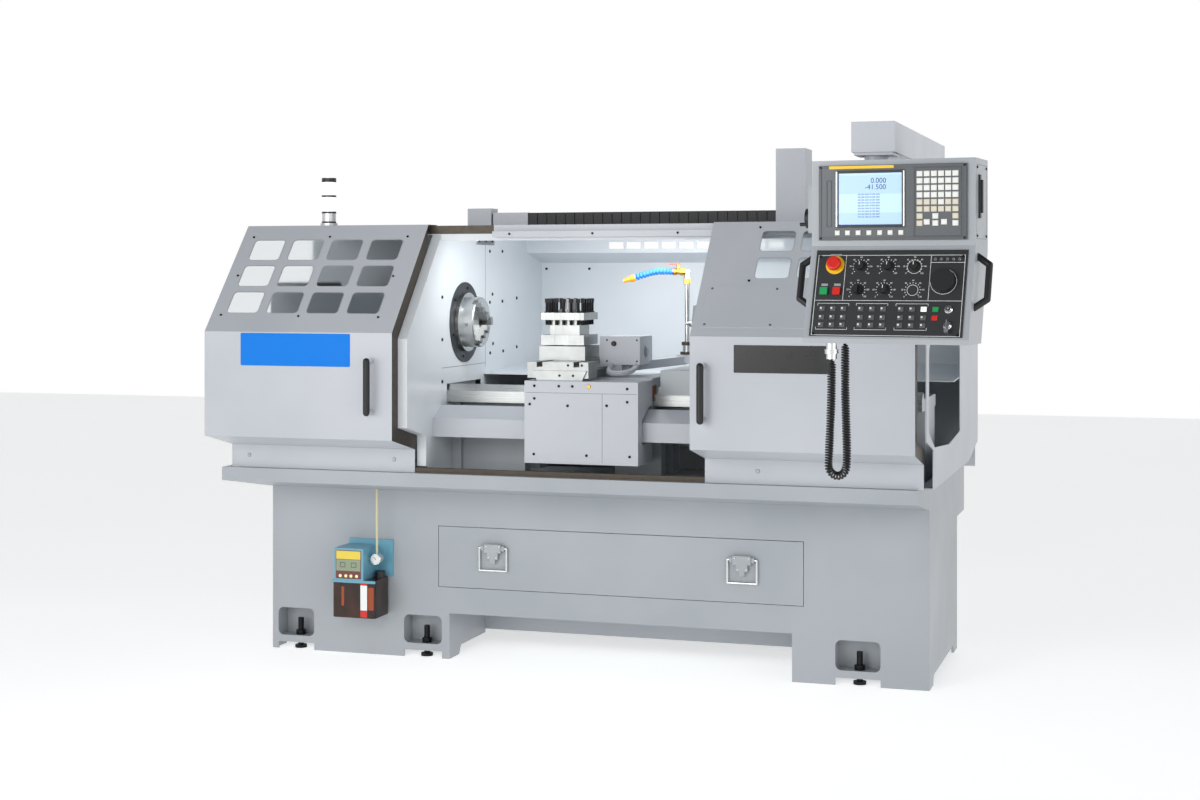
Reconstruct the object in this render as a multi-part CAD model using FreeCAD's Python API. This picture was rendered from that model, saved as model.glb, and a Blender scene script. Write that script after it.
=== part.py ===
import FreeCAD, Part
import math
import os

# CNC turning lathe, in millimetres.
# X runs along the bed from the headstock to the tailstock, Y from the operator
# to the back, Z up from the floor. Pieces are drawn from the base's front left
# corner, and the whole machine is moved to its own origin when it is written.

V = FreeCAD.Vector
X_DIR, Y_DIR, Z_DIR = V(1, 0, 0), V(0, 1, 0), V(0, 0, 1)

# ---- running clearances --------------------------------------------------
FIT = 0.05             # radial, for a shaft in its bearing or bore
SLIDE_GAP = 0.3        # between two faces that slide on each other
PANEL_GAP = 0.8        # between a sliding sheet and its rail
REACH = 2.0            # how far a cutting body runs past the face it cuts

# ---- base cabinet --------------------------------------------------------
BASE_LENGTH, BASE_DEPTH, BASE_HEIGHT = 2307.0, 722.0, 572.0
BASE_WALL = 8.0
LEFT_LEG, RIGHT_LEG = 672.0, 442.0
KICK_HEIGHT, KICK_DEPTH, KICK_BACK_FOOT = 157.0, 335.0, 45.0
BACK_SHELF_BOTTOM, PAN_BACK = 464.0, 930.0
FOOT_DEPTH, FOOT_RELIEF, FOOT_CHAMFER = 90.0, 30.0, 18.0
POCKETS = ((22.0, 161.0), (503.0, 644.0), (2006.0, 2152.0))
POCKET_BOTTOM, POCKET_TOP, POCKET_RADIUS = 48.0, 145.0, 20.0
NOTCH_HEIGHT, LUG_DEPTH = 24.0, 72.0
BOLT_RADIUS, BOLT_TOP, BOLT_INSET = 10.0, 105.0, 38.0

# ---- drawer --------------------------------------------------------------
DRAWER_LEFT, DRAWER_WIDTH = 631.0, 1273.0
DRAWER_BOTTOM, DRAWER_HEIGHT, DRAWER_DEPTH = 246.0, 210.0, 430.0
DRAWER_SHEET, DRAWER_GAP, RUNNER_WIDTH = 2.0, 2.0, 40.0
TRAY_HEIGHT = 150.0
BAIL_INSET, BAIL_SPAN, BAIL_DROP, BAIL_WIRE = 203.0, 74.0, 76.0, 4.0
BAIL_PIVOT_HEIGHT = 142.0

# ---- chip pan ------------------------------------------------------------
PAN_SHEET = 4.0
PAN_FRONT, PAN_LIP_TOP, PAN_LIP_BOTTOM = -267.0, 663.0, 618.0
PAN_LEFT, PAN_LEFT_FOOT = -54.0, -10.0
PAN_FLANGE = 50.0

# ---- bed -----------------------------------------------------------------
WALL_X = 682.0                      # working face of the headstock guard
BED_LEFT, BED_RIGHT = 150.0, 2290.0
WAY_FRONT, WAY_BACK, WAY_TOP, WAY_LIP = -46.0, 274.0, 924.0, 38.0
VEE_WIDTH, VEE_HEIGHT = 52.0, 22.0
WAY_WINDOW = (78.0, 168.0)
BED_BODY = (20.0, 250.0)
BED_POST = (669.0, 715.0)

# ---- ball screw and its cover -------------------------------------------
SCREW_Y, SCREW_Z, SCREW_RADIUS = -137.0, 812.0, 16.0
COVER_FRONT, COVER_BACK = -174.0, -99.0
COVER_BOTTOM, COVER_EDGE, COVER_TOP, COVER_SHEET = 778.0, 840.0, 879.0, 2.0
COVER_END = 2170.0

# ---- headstock and spindle ----------------------------------------------
SPINDLE_Y, SPINDLE_Z = 114.0, 1153.0
SPINDLE_RADIUS, SPINDLE_BORE, BAR_CLEARANCE = 80.0, 26.0, 20.0
HEAD_LEFT, HEAD_RIGHT, HEAD_TOP = 150.0, 660.0, 1257.0
HEAD_FRONT, HEAD_BACK, HEAD_LAND, HEAD_RELIEF = -46.0, 274.0, 80.0, 12.0
RING_RADIUS, RING_THICK, RING_HOLE = 139.0, 4.0, 88.0
PLATE_RADIUS, PLATE_THICK = 102.0, 12.0
CHUCK_RADIUS, CHUCK_THICK, CHUCK_BORE = 86.5, 48.0, 27.0
JAW_WIDTH, JAW_STEP, JAW_TRAVEL = 24.0, 14.0, 12.0
JAW_INNER, JAW_DEPTH, JAW_ANGLE = 16.0, 28.0, 35.0
PULLEY_LEFT, PULLEY_WIDTH = 72.0, 56.0
SPINDLE_PULLEY, MOTOR_PULLEY = 110.0, 60.0
BELT_THICK, BELT_WIDTH = 8.0, 48.0
MOTOR_Y, MOTOR_Z, MOTOR_RADIUS, MOTOR_LENGTH = 560.0, 780.0, 100.0, 360.0
MOTOR_SHAFT = 22.0

# ---- sheet metal guards --------------------------------------------------
SHEET = 3.0
GUARD_TOP = 1455.0
ROOF_FRONT, LOUVRE_Y, LOUVRE_BOTTOM = -98.0, 757.0, 1402.0
REAR_WALL_TOP, SPLASH_BACK, SPLASH_FRONT, SPLASH_FRONT_Y = 1366.0, 988.0, 962.0, 300.0
LOUVRE_COUNT, LOUVRE_WIDTH, LOUVRE_HEIGHT, LOUVRE_PITCH, LOUVRE_LEFT = 10, 56.0, 26.0, 68.0, 1010.0
JAMB_WIDTH = 32.0
JAMB = ((-95.5, 1451.6), (-386.0, 1110.0), (-386.0, 822.0), (-228.0, 785.0), (-228.0, 684.0))
RAIL_BOTTOM, RAIL_TOP, RAIL_FRONT, RAIL_BACK = 1455.0, 1483.0, -100.0, -60.0
RAIL_LEFT = -20.0
END_X = BASE_LENGTH + 43.0
END_BACK, END_FOOT, END_CORNER, END_TOP, END_BOX = 991.0, 712.0, 711.0, 1506.0, 110.0
HEADER_LEFT, HEADER_STEP_Z, HEADER_BOTTOM = 880.0, 1462.0, 1442.0
HEADER_FRONT, HEADER_STEP_Y = -135.0, -118.0

# ---- sliding doors -------------------------------------------------------
DOOR_SHEET, DOOR_RETURN = 2.5, 47.0
DOOR_SLOPE_TOP, DOOR_FOLD = (-131.0, 1486.3), (-434.0, 1130.0)
DOOR_FRONT_BOTTOM, DOOR_SKIRT_TOP = (-434.0, 784.0), (-247.0, 740.0)
LEFT_DOOR, LEFT_DOOR_WIDTH = -26.0, 676.0
RIGHT_DOOR, RIGHT_DOOR_WIDTH = 1638.0, 685.0
# openings of each door: left edge of the first, pitch, lower edges of the rows, width, height
LEFT_PANES = (26.0, 145.7, (310.0, 194.5, 78.5), 116.0, 92.0)
RIGHT_PANES = (1804.0, 131.0, (342.0, 230.0), 109.0, 86.0)
PANE_COLUMNS, PANE_RADIUS, PANE_THICK = 4, 14.0, 4.0
PANE_MARGIN = 12.0
LEFT_HANDLE_X, RIGHT_HANDLE_X = 578.0, 1680.0
HANDLE_BOTTOM, HANDLE_TOP, HANDLE_STAND, HANDLE_RADIUS = 861.0, 1054.0, 38.0, 11.0

# ---- carriage ------------------------------------------------------------
SADDLE_LEFT, SADDLE_RIGHT, SADDLE_FRONT, SADDLE_BACK = 1028.0, 1413.0, -62.0, WAY_BACK + 14.0
SADDLE_TOP, DOVETAIL_TOP = 978.0, 1006.0
DOVETAIL_X, DOVETAIL_TOP_HALF, DOVETAIL_FOOT_HALF, DOVETAIL_FRONT = 1145.5, 92.0, 78.0, -222.0
APRON_FRONT, APRON_BACK, APRON_BOTTOM, APRON_TOP, APRON_WALL = -228.0, -62.0, 706.0, 973.0, 6.0
COVER_SPACE = 8.0
NUT_LENGTH, NUT_RADIUS = 90.0, 20.0
SLIDE_LEFT, SLIDE_RIGHT, SLIDE_EAR, SLIDE_TOP = 1034.0, 1213.0, 1242.0, 1034.0
SLIDE_FRONT, SLIDE_BACK, SLIDE_EAR_BACK = -215.0, 330.0, -120.0
SLOT_OFFSETS, SLOT_WIDTH, SLOT_DEPTH = (-70.0, 56.0), 20.0, 16.0

# ---- tool turret ---------------------------------------------------------
TURRET_X, TURRET_Y = 1105.0, 5.0
TURRET_BLOCK, TURRET_PLATE, TURRET_CORE = 160.0, 150.0, 104.0
BLOCK_TOP, LOWER_BOTTOM, LOWER_TOP = 1080.0, 1084.0, 1117.0
UPPER_BOTTOM, UPPER_TOP, POST_TOP = 1167.0, 1191.0, 1236.0
TURRET_POST, TURRET_PIVOT = 26.0, 24.0
TOOL_SCREW, TOOL_SCREW_TOP, TOOL_SCREW_FOOT, TOOL_SCREWS = 5.0, 1238.0, 1150.0, 5
DRIVE_RIGHT, DRIVE_FRONT, DRIVE_BACK, DRIVE_BOTTOM, DRIVE_TOP = 1352.0, 0.0, 150.0, 1018.0, 1112.0
DUCT_PATH = ((1290.0, 40.0, 1012.0), (1425.0, 290.0, 1026.0))
DUCT_SIZE, DUCT_HEIGHT = 34.0, 28.0
CONDUIT_RADIUS = 9.0
CONDUIT_ROUTE = ((1255.0, 32.0, 1026.0), (1253.0, -36.0, 1001.0), (1274.0, -80.0, 993.0),
                 (1317.0, -80.0, 993.0), (1340.0, -36.0, 1001.0), (1337.0, 32.0, 1026.0))

# ---- coolant pipe --------------------------------------------------------
PIPE_X, PIPE_Y, PIPE_RADIUS, PIPE_TOP = 1437.0, 290.0, 8.0, 1326.0
PIPE_FOOT, PIPE_SOCKET, SOCKET_RADIUS, PIPE_PIN = 1042.0, 40.0, 15.0, 5.0
HOSE_POINTS = ((1392.0, 280.0, 1328.0), (1340.0, 256.0, 1331.0), (1298.0, 240.0, 1318.0),
               (1262.0, 228.0, 1306.0))
HOSE_RADIUS = 9.0

# ---- tailstock -----------------------------------------------------------
TAIL_LEFT, TAIL_RIGHT, TAIL_BODY_LEFT = 1440.0, 1800.0, 1515.0
TAIL_BASE_TOP, TAIL_WIDTH, TAIL_BACK = 1004.0, 150.0, 262.0
QUILL_RADIUS, QUILL_TIP, QUILL_NOSE = 35.0, 1476.0, 1508.0
TAIL_SHAFT, TAIL_WHEEL, TAIL_WHEEL_THICK = 14.0, 90.0, 18.0

# ---- electrical cabinet, roof gear and stack light ------------------------
CABINET_LEFT = -120.0
CABINET_FRONT, CABINET_STEP_Y, CABINET_STEP_Z, CABINET_TOP = 560.0, 700.0, 1000.0, 1485.0
CHAIN_Y, CHAIN_WIDTH, CHAIN_TOP, CHAIN_PITCH = 400.0, 56.0, 1540.0, 35.0
CHAIN_LEFT, CHAIN_RIGHT = 827.0, 1737.0
END_BOXES = ((594.0, 685.0, 1557.0), (693.0, 825.0, 1541.0))
TOWER = (1738.0, 1840.0, 1750.0)
TOWER_DEPTH = 120.0
LIGHT_X, LIGHT_Y, LIGHT_RADIUS, LIGHT_TOP = 228.0, -20.0, 24.0, 1655.0

# ---- pendant arm ---------------------------------------------------------
ARM_X, ARM_WIDTH, ARM_FRONT, ARM_PIVOT_Y, ARM_BACK = 2287.0, 116.0, -975.0, 15.0, 78.0
ARM_BOTTOM, ARM_TOP, ARM_WALL = 1646.0, 1728.0, 4.0
POST_RADIUS, PIN_RADIUS, PIN_TOP, BOSS_RADIUS = 45.0, 25.0, 1700.0, 40.0
SWIVEL_Y, SWIVEL_PLATE, SWIVEL_RADIUS, SWIVEL_DISC = -915.0, 104.0, 32.0, 46.0

# ---- control pendant, drawn about its swivel ------------------------------
PENDANT_TURN = -5.6
PENDANT_LEFT, PENDANT_WIDTH = -157.0, 442.0
PENDANT_TOP, PENDANT_FOLD, PENDANT_BOTTOM = 1624.0, 1395.0, 1137.0
PENDANT_FRONT, PENDANT_DEPTH, CONSOLE_OUT, PENDANT_SHEET = -79.0, 155.0, 85.0, 3.0
DISPLAY_WIDTH, DISPLAY_HEIGHT, DISPLAY_RISE, DISPLAY_STAND = 400.0, 200.0, 15.0, 6.0
PANEL_WIDTH, PANEL_HEIGHT, PANEL_STAND = 408.0, 240.0, 3.0
BUTTON_SIZE, BUTTON_STAND, BUTTON_GUIDE = 20.0, 8.0, 14.0
GRIP_LENGTH, GRIP_STAND, GRIP_RADIUS, GRIP_MIDDLE = 134.0, 32.0, 9.0, 1299.0
WHEEL_BOX = (-28.0, 34.0, 1432.0, 1557.0)
WHEEL_BOX_STAND, WHEEL_RADIUS, WHEEL_THICK, WHEEL_Z = 26.0, 27.0, 12.0, 1472.0
GLAND_X, GLAND_Y, GLAND_RADIUS, GLAND_LENGTH = -96.0, -100.0, 15.0, 44.0
CORD_RADIUS = 12.0
CORD_ROUTE = ((-96.0, -100.0, 1093.0), (-96.0, -100.0, 1005.0), (-99.0, -102.0, 915.0),
              (-102.0, -104.0, 840.0), (-104.0, -105.0, 795.0), (-79.0, -106.0, 778.0),
              (-55.0, -104.0, 792.0), (-53.0, -101.0, 838.0), (-57.0, -96.0, 915.0),
              (-61.0, -91.0, 1000.0), (-62.0, -88.0, 1066.0), (-62.0, -88.0, 1137.0))

# ---- lubricator ----------------------------------------------------------
LUBE_X, LUBE_BOTTOM, LUBE_SPLIT, LUBE_TOP = 290.0, 146.0, 275.0, 383.0
LUBE_TANK_WIDTH, LUBE_TANK_DEPTH, LUBE_PUMP_WIDTH, LUBE_PUMP_DEPTH = 159.0, 122.0, 108.0, 126.0
LUBE_BACKSET = 6.0


# ===== helpers ============================================================

def box(x0, y0, z0, x1, y1, z1):
    return Part.makeBox(x1 - x0, y1 - y0, z1 - z0, V(x0, y0, z0))


def rod(radius, start, end):
    start, end = V(*start), V(*end)
    return Part.makeCylinder(radius, start.distanceToPoint(end), start, end - start)


def cone(radius_start, radius_end, start, end):
    start, end = V(*start), V(*end)
    length = start.distanceToPoint(end)
    return Part.makeCone(radius_start, radius_end, length, start, end - start)


def prism(points, sweep):
    """A closed outline of 3-D points, swept along a vector."""
    face = Part.Face(Part.makePolygon([V(*p) for p in points] + [V(*points[0])]))
    return face.extrude(V(*sweep))


def prism_x(outline, x0, x1):
    """An outline in (y, z), swept along X."""
    return prism([(x0, y, z) for y, z in outline], (x1 - x0, 0, 0))


def prism_y(outline, y0, y1):
    """An outline in (x, z), swept along Y."""
    return prism([(x, y0, z) for x, z in outline], (0, y1 - y0, 0))


def prism_z(outline, z0, z1):
    """An outline in (x, y), swept along Z."""
    return prism([(x, y, z0) for x, y in outline], (0, 0, z1 - z0))


def offset_line(path, distance):
    """The open path moved to its right-hand side, with mitred corners."""
    normals = []
    for (a, b), (c, d) in zip(path, path[1:]):
        length = math.hypot(c - a, d - b)
        normals.append(((d - b) / length, (a - c) / length))
    moved = []
    for i, (a, b) in enumerate(path):
        before, after = normals[max(i - 1, 0)], normals[min(i, len(normals) - 1)]
        share = 1 + before[0] * after[0] + before[1] * after[1]
        moved.append((a + distance * (before[0] + after[0]) / share,
                      b + distance * (before[1] + after[1]) / share))
    return moved


def folded_sheet(path, thickness, x0, x1):
    """A folded sheet: an open path in (y, z) with a thickness on its right-hand side."""
    return prism_x(list(path) + offset_line(path, thickness)[::-1], x0, x1)


def fuse(*shapes):
    whole = shapes[0]
    for shape in shapes[1:]:
        whole = whole.fuse(shape)
    return whole.removeSplitter()


def cut(shape, *tools):
    for tool in tools:
        shape = shape.cut(tool)
    return shape


def rounded_plate(x0, z0, x1, z1, radius, y0, y1):
    """A plate in the XZ plane whose four corners are rounded."""
    plate = box(x0, y0, z0, x1, y1, z1)
    corners = [edge for edge in plate.Edges
               if abs(edge.tangentAt(edge.FirstParameter).y) > 0.99]
    return plate.makeFillet(radius, corners)


def route_wire(points):
    """Straight runs joined by tangent arcs, each as large as its two runs allow."""
    points = [V(*p) for p in points]
    edges, radii, start = [], [], points[0]
    for a, b, c in zip(points, points[1:], points[2:]):
        run_in, run_out = b - a, c - b
        turn = run_in.getAngle(run_out)
        setback = 0.45 * min(run_in.Length, run_out.Length)
        run_in.normalize()
        run_out.normalize()
        first, last = b - run_in * setback, b + run_out * setback
        radius = setback / math.tan(turn / 2)
        inward = run_out - run_in
        inward.normalize()
        centre_gap = radius / math.cos(turn / 2)
        middle = b + inward * (centre_gap - radius)
        edges.append(Part.LineSegment(start, first).toShape())
        edges.append(Part.Arc(first, middle, last).toShape())
        radii.append(radius)
        start = last
    edges.append(Part.LineSegment(start, points[-1]).toShape())
    return Part.Wire(edges), radii


def tube_along(points, radius, name):
    """A solid round tube that follows a route; prints its arcs and tests its volume."""
    wire, radii = route_wire(points)
    start = V(*points[0])
    circle = Part.Circle(start, V(*points[1]) - start, radius)
    profile = Part.Wire([circle.toShape()])
    tube = wire.makePipeShell([profile], True, False)
    ideal = math.pi * radius ** 2 * wire.Length
    print(name, "length", round(wire.Length, 1), "arc radii", [round(r) for r in radii],
          "volume / ideal", round(tube.Volume / ideal, 4))
    return tube


# ===== base, drawer and chip pan ==========================================

def pocket_centres():
    """Centres of the levelling bolts: three at the front and three at the back."""
    return [((x0 + x1) / 2, y) for x0, x1 in POCKETS
            for y in (BOLT_INSET, BASE_DEPTH - BOLT_INSET)]


def base_cabinet():
    kick_end = BASE_LENGTH - RIGHT_LEG
    w = BASE_WALL
    shell = box(0, 0, 0, BASE_LENGTH, BASE_DEPTH, BASE_HEIGHT)
    back_shelf = cut(box(0, BASE_DEPTH - w, BACK_SHELF_BOTTOM, BASE_LENGTH, PAN_BACK, BASE_HEIGHT),
                     box(w, BASE_DEPTH - 2 * w, BACK_SHELF_BOTTOM + w,
                         BASE_LENGTH - w, PAN_BACK - w, BASE_HEIGHT - w))
    upper_room = box(w, w, KICK_HEIGHT + w, BASE_LENGTH - w, BASE_DEPTH - w, BASE_HEIGHT - w)
    left_room = box(w, w, -REACH, LEFT_LEG - w, BASE_DEPTH - w, KICK_HEIGHT + 2 * w)
    right_room = box(kick_end + w, w, -REACH, BASE_LENGTH - w, BASE_DEPTH - w, KICK_HEIGHT + 2 * w)
    back_room = box(LEFT_LEG - 2 * w, KICK_DEPTH + w, -REACH,
                    kick_end + 2 * w, BASE_DEPTH - w, KICK_HEIGHT + 2 * w)
    kick = box(LEFT_LEG, -REACH, -REACH, kick_end, KICK_DEPTH, KICK_HEIGHT)
    under_back = box(LEFT_LEG, KICK_DEPTH - REACH, -REACH, kick_end, BASE_DEPTH + REACH, KICK_BACK_FOOT)
    chamfer_end = FOOT_DEPTH + FOOT_CHAMFER
    relief = prism_x([(FOOT_DEPTH, -REACH), (FOOT_DEPTH, 0), (chamfer_end, FOOT_RELIEF),
                      (BASE_DEPTH - chamfer_end, FOOT_RELIEF), (BASE_DEPTH - FOOT_DEPTH, 0),
                      (BASE_DEPTH - FOOT_DEPTH, -REACH)], -REACH, BASE_LENGTH + REACH)
    mouth = box(DRAWER_LEFT, -REACH, DRAWER_BOTTOM,
                DRAWER_LEFT + DRAWER_WIDTH, w + REACH, DRAWER_BOTTOM + DRAWER_HEIGHT)
    shell = fuse(shell, back_shelf)
    shell = cut(shell, upper_room, left_room, right_room, back_room, kick, under_back, relief, mouth)
    for x0, x1 in POCKETS:
        for outer, inner in ((-REACH, w + REACH), (BASE_DEPTH + REACH, BASE_DEPTH - w - REACH)):
            low, high = min(outer, inner), max(outer, inner)
            shell = cut(shell,
                        rounded_plate(x0, POCKET_BOTTOM, x1, POCKET_TOP, POCKET_RADIUS, low, high),
                        box(x0, low, -REACH, x1, high, NOTCH_HEIGHT))
    for x0, x1 in POCKETS:
        for y0, y1, front in ((0, LUG_DEPTH, 0), (BASE_DEPTH - LUG_DEPTH, BASE_DEPTH, BASE_DEPTH)):
            inward = w if front == 0 else -w
            back = LUG_DEPTH if front == 0 else BASE_DEPTH - LUG_DEPTH
            recess = cut(box(x0 - w, min(front + inward, back + inward), NOTCH_HEIGHT,
                             x1 + w, max(front + inward, back + inward), POCKET_TOP + w),
                         box(x0, y0, POCKET_BOTTOM - REACH, x1, y1, POCKET_TOP))
            lug = box(x0 - w, y0, NOTCH_HEIGHT, x1 + w, y1, POCKET_BOTTOM - REACH)
            shell = fuse(shell, recess, lug)
    for x, y in pocket_centres():
        shell = cut(shell, rod(BOLT_RADIUS + SLIDE_GAP, (x, y, 0), (x, y, POCKET_BOTTOM)))
    for x in (DRAWER_LEFT, DRAWER_LEFT + DRAWER_WIDTH - RUNNER_WIDTH):
        shell = fuse(shell, box(x, w - 1, DRAWER_BOTTOM - 3 * w, x + RUNNER_WIDTH,
                                BASE_DEPTH - w, DRAWER_BOTTOM + 2 * DRAWER_GAP))
    return shell


def levelling_bolts():
    bolts = []
    lug_top = POCKET_BOTTOM - REACH
    for x, y in pocket_centres():
        foot = rod(2.1 * BOLT_RADIUS, (x, y, 0), (x, y, BOLT_RADIUS))
        shank = rod(BOLT_RADIUS, (x, y, 0), (x, y, BOLT_TOP))
        nut = rod(1.7 * BOLT_RADIUS, (x, y, lug_top), (x, y, lug_top + 1.6 * BOLT_RADIUS))
        bolts.append(fuse(foot, shank, nut))
    return bolts


def drawer_pivots():
    """Outer ends of the two bails: x centre of each."""
    return (DRAWER_LEFT + BAIL_INSET, DRAWER_LEFT + DRAWER_WIDTH - BAIL_INSET)


def drawer():
    left, right = DRAWER_LEFT + DRAWER_GAP, DRAWER_LEFT + DRAWER_WIDTH - DRAWER_GAP
    low, high = DRAWER_BOTTOM + DRAWER_GAP, DRAWER_BOTTOM + DRAWER_HEIGHT - DRAWER_GAP
    t = DRAWER_SHEET
    tray_low = DRAWER_BOTTOM + 2 * DRAWER_GAP + SLIDE_GAP
    front = box(left, 0, low, right, t, high)
    tray = cut(box(left + t, t / 2, tray_low, right - t, DRAWER_DEPTH, tray_low + TRAY_HEIGHT),
               box(left + 2 * t, t, tray_low + t, right - 2 * t, DRAWER_DEPTH - t, high + REACH))
    whole = fuse(front, tray)
    pivot = DRAWER_BOTTOM + BAIL_PIVOT_HEIGHT
    for centre in drawer_pivots():
        plate = box(centre - 40, -2, pivot - 12, centre + 40, 0, pivot + 12)
        ears = [box(centre + side * BAIL_SPAN / 2 - 5, -14, pivot - 8,
                    centre + side * BAIL_SPAN / 2 + 5, 0, pivot + 8) for side in (-1, 1)]
        whole = fuse(whole, plate, *ears)
        whole = cut(whole, rod(BAIL_WIRE + FIT, (centre - BAIL_SPAN, -8, pivot),
                               (centre + BAIL_SPAN, -8, pivot)))
    return whole


def bail(centre):
    """A wire handle whose two short ends turn in the ears on the drawer front."""
    pivot = DRAWER_BOTTOM + BAIL_PIVOT_HEIGHT
    half = BAIL_SPAN / 2 + 12
    wire = [rod(BAIL_WIRE, (centre + side * half, -8, pivot),
                (centre + side * (BAIL_SPAN / 2 - 9), -8, pivot)) for side in (-1, 1)]
    wire += [rod(BAIL_WIRE, (centre + side * half, -8, pivot),
                 (centre + side * half, -8, pivot - BAIL_DROP)) for side in (-1, 1)]
    wire.append(rod(BAIL_WIRE, (centre - half, -8, pivot - BAIL_DROP),
                    (centre + half, -8, pivot - BAIL_DROP)))
    joints = [Part.makeSphere(BAIL_WIRE, V(centre + side * half, -8, z))
              for side in (-1, 1) for z in (pivot, pivot - BAIL_DROP)]
    return fuse(*wire, *joints)


def chip_pan():
    t = PAN_SHEET
    floor = BASE_HEIGHT
    outer = prism_x([(PAN_FRONT, PAN_LIP_TOP), (PAN_FRONT, PAN_LIP_BOTTOM), (0, floor),
                     (PAN_BACK, floor), (PAN_BACK, PAN_LIP_TOP)], PAN_LEFT, BASE_LENGTH)
    ends = prism_y([(PAN_LEFT, PAN_LIP_TOP), (PAN_LEFT, PAN_LIP_BOTTOM), (PAN_LEFT_FOOT, floor),
                    (BASE_LENGTH, floor), (BASE_LENGTH, PAN_LIP_TOP)], PAN_FRONT, PAN_BACK)
    top = PAN_LIP_TOP + REACH
    inner = prism_x([(PAN_FRONT + t, top), (PAN_FRONT + t, PAN_LIP_BOTTOM + t), (0, floor + t),
                     (PAN_BACK - t, floor + t), (PAN_BACK - t, top)], PAN_LEFT, BASE_LENGTH)
    inner_ends = prism_y([(PAN_LEFT + t, top), (PAN_LEFT + t, PAN_LIP_BOTTOM + t),
                          (PAN_LEFT_FOOT + t, floor + t), (BASE_LENGTH - t, floor + t),
                          (BASE_LENGTH - t, top)], PAN_FRONT, PAN_BACK)
    flange = box(PAN_LEFT, PAN_FRONT, PAN_LIP_TOP - t, BASE_LENGTH, PAN_FRONT + PAN_FLANGE, PAN_LIP_TOP)
    return fuse(cut(outer.common(ends), inner.common(inner_ends)), flange)


# ===== bed, headstock and spindle =========================================

def way_outline(gap):
    """Top of the bed across its two ways, lifted by a gap: a vee in front, flat at the back."""
    peak = WAY_FRONT + VEE_WIDTH / 2
    return [(WAY_FRONT, WAY_TOP + gap), (peak, WAY_TOP + VEE_HEIGHT + gap),
            (WAY_FRONT + VEE_WIDTH, WAY_TOP + gap), (WAY_BACK, WAY_TOP + gap)]


def bed():
    floor = BASE_HEIGHT + PAN_SHEET
    lip = WAY_TOP - WAY_LIP
    head = prism_x(way_outline(0) + [(WAY_BACK, lip), (WAY_FRONT, lip)], BED_LEFT, BED_RIGHT)
    body = box(BED_LEFT, BED_BODY[0], floor, BED_RIGHT, BED_BODY[1], lip + 1)
    post = box(BED_POST[0], 0, floor, BED_POST[1], BED_BODY[0] + 1, lip + 1)
    window = box(WALL_X + 60, WAY_WINDOW[0], floor + 70, BED_RIGHT - 60, WAY_WINDOW[1], WAY_TOP + REACH)
    whole = cut(fuse(head, body, post), window)
    for x0, x1 in ((940.0, 1260.0), (1420.0, 1740.0), (1900.0, 2160.0)):
        whole = cut(whole, box(x0, 0, floor + 70, x1, WAY_BACK, lip - 60))
    screw_back = SCREW_Y + 1.5 * SCREW_RADIUS
    for x0, x1 in ((WALL_X + 6, WALL_X + 34), (COVER_END - 40, COVER_END - 10)):
        bearing = fuse(box(x0, SCREW_Y - 28, SCREW_Z - 28, x1, screw_back, SCREW_Z + 28),
                       box(x0, screw_back - 1, SCREW_Z - 28, x1, BED_BODY[0] + 1, SCREW_Z + 28))
        whole = fuse(whole, bearing)
    return cut(whole, rod(SCREW_RADIUS + FIT, (WALL_X, SCREW_Y, SCREW_Z), (COVER_END, SCREW_Y, SCREW_Z)))


def bed_front_cover():
    path = [(COVER_BACK, COVER_TOP), (COVER_FRONT, COVER_EDGE), (COVER_FRONT, COVER_BOTTOM),
            (COVER_BACK, COVER_BOTTOM)]
    inner = offset_line(path, -COVER_SHEET)
    return prism_x(path + inner[::-1], WALL_X, COVER_END)


def ball_screw():
    shaft = rod(SCREW_RADIUS, (WALL_X + 4, SCREW_Y, SCREW_Z), (COVER_END - 4, SCREW_Y, SCREW_Z))
    collars = [rod(1.4 * SCREW_RADIUS, (x, SCREW_Y, SCREW_Z), (x + 6, SCREW_Y, SCREW_Z))
               for x in (WALL_X + 34 + SLIDE_GAP, COVER_END - 40 - 6 - SLIDE_GAP)]
    return fuse(shaft, *collars)


def spindle_rod(radius, x0, x1):
    return rod(radius, (x0, SPINDLE_Y, SPINDLE_Z), (x1, SPINDLE_Y, SPINDLE_Z))


def headstock():
    body = box(HEAD_LEFT, HEAD_FRONT, WAY_TOP + VEE_HEIGHT, HEAD_RIGHT, HEAD_BACK, HEAD_TOP)
    seat = cut(box(HEAD_LEFT, HEAD_FRONT, WAY_TOP, HEAD_RIGHT, HEAD_BACK, WAY_TOP + VEE_HEIGHT + 1),
               prism_x(way_outline(0) + [(WAY_BACK, 0), (WAY_FRONT, 0)], HEAD_LEFT - 1, HEAD_RIGHT + 1))
    casting = fuse(body, seat)
    bore = spindle_rod(SPINDLE_RADIUS + FIT, HEAD_LEFT - REACH, HEAD_RIGHT + REACH)
    relief = spindle_rod(SPINDLE_RADIUS + HEAD_RELIEF, HEAD_LEFT + HEAD_LAND, HEAD_RIGHT - HEAD_LAND)
    return cut(casting, bore, relief)


def spindle():
    nose = WALL_X + RING_THICK + 1
    barrel = spindle_rod(SPINDLE_RADIUS, PULLEY_LEFT + PULLEY_WIDTH, nose)
    plate = spindle_rod(PLATE_RADIUS, nose, nose + PLATE_THICK)
    pulley = spindle_rod(SPINDLE_PULLEY, PULLEY_LEFT, PULLEY_LEFT + PULLEY_WIDTH)
    rims = [spindle_rod(SPINDLE_PULLEY + 5, x, x + 3)
            for x in (PULLEY_LEFT, PULLEY_LEFT + PULLEY_WIDTH - 3)]
    bore = spindle_rod(SPINDLE_BORE, PULLEY_LEFT - REACH, nose + PLATE_THICK + REACH)
    return cut(fuse(barrel, plate, pulley, *rims), bore)


def chuck_front():
    return WALL_X + RING_THICK + 1 + PLATE_THICK + CHUCK_THICK


def turned_to_jaw(shape, number):
    shape.rotate(V(0, SPINDLE_Y, SPINDLE_Z), X_DIR, 120 * number + JAW_ANGLE)
    return shape


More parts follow.
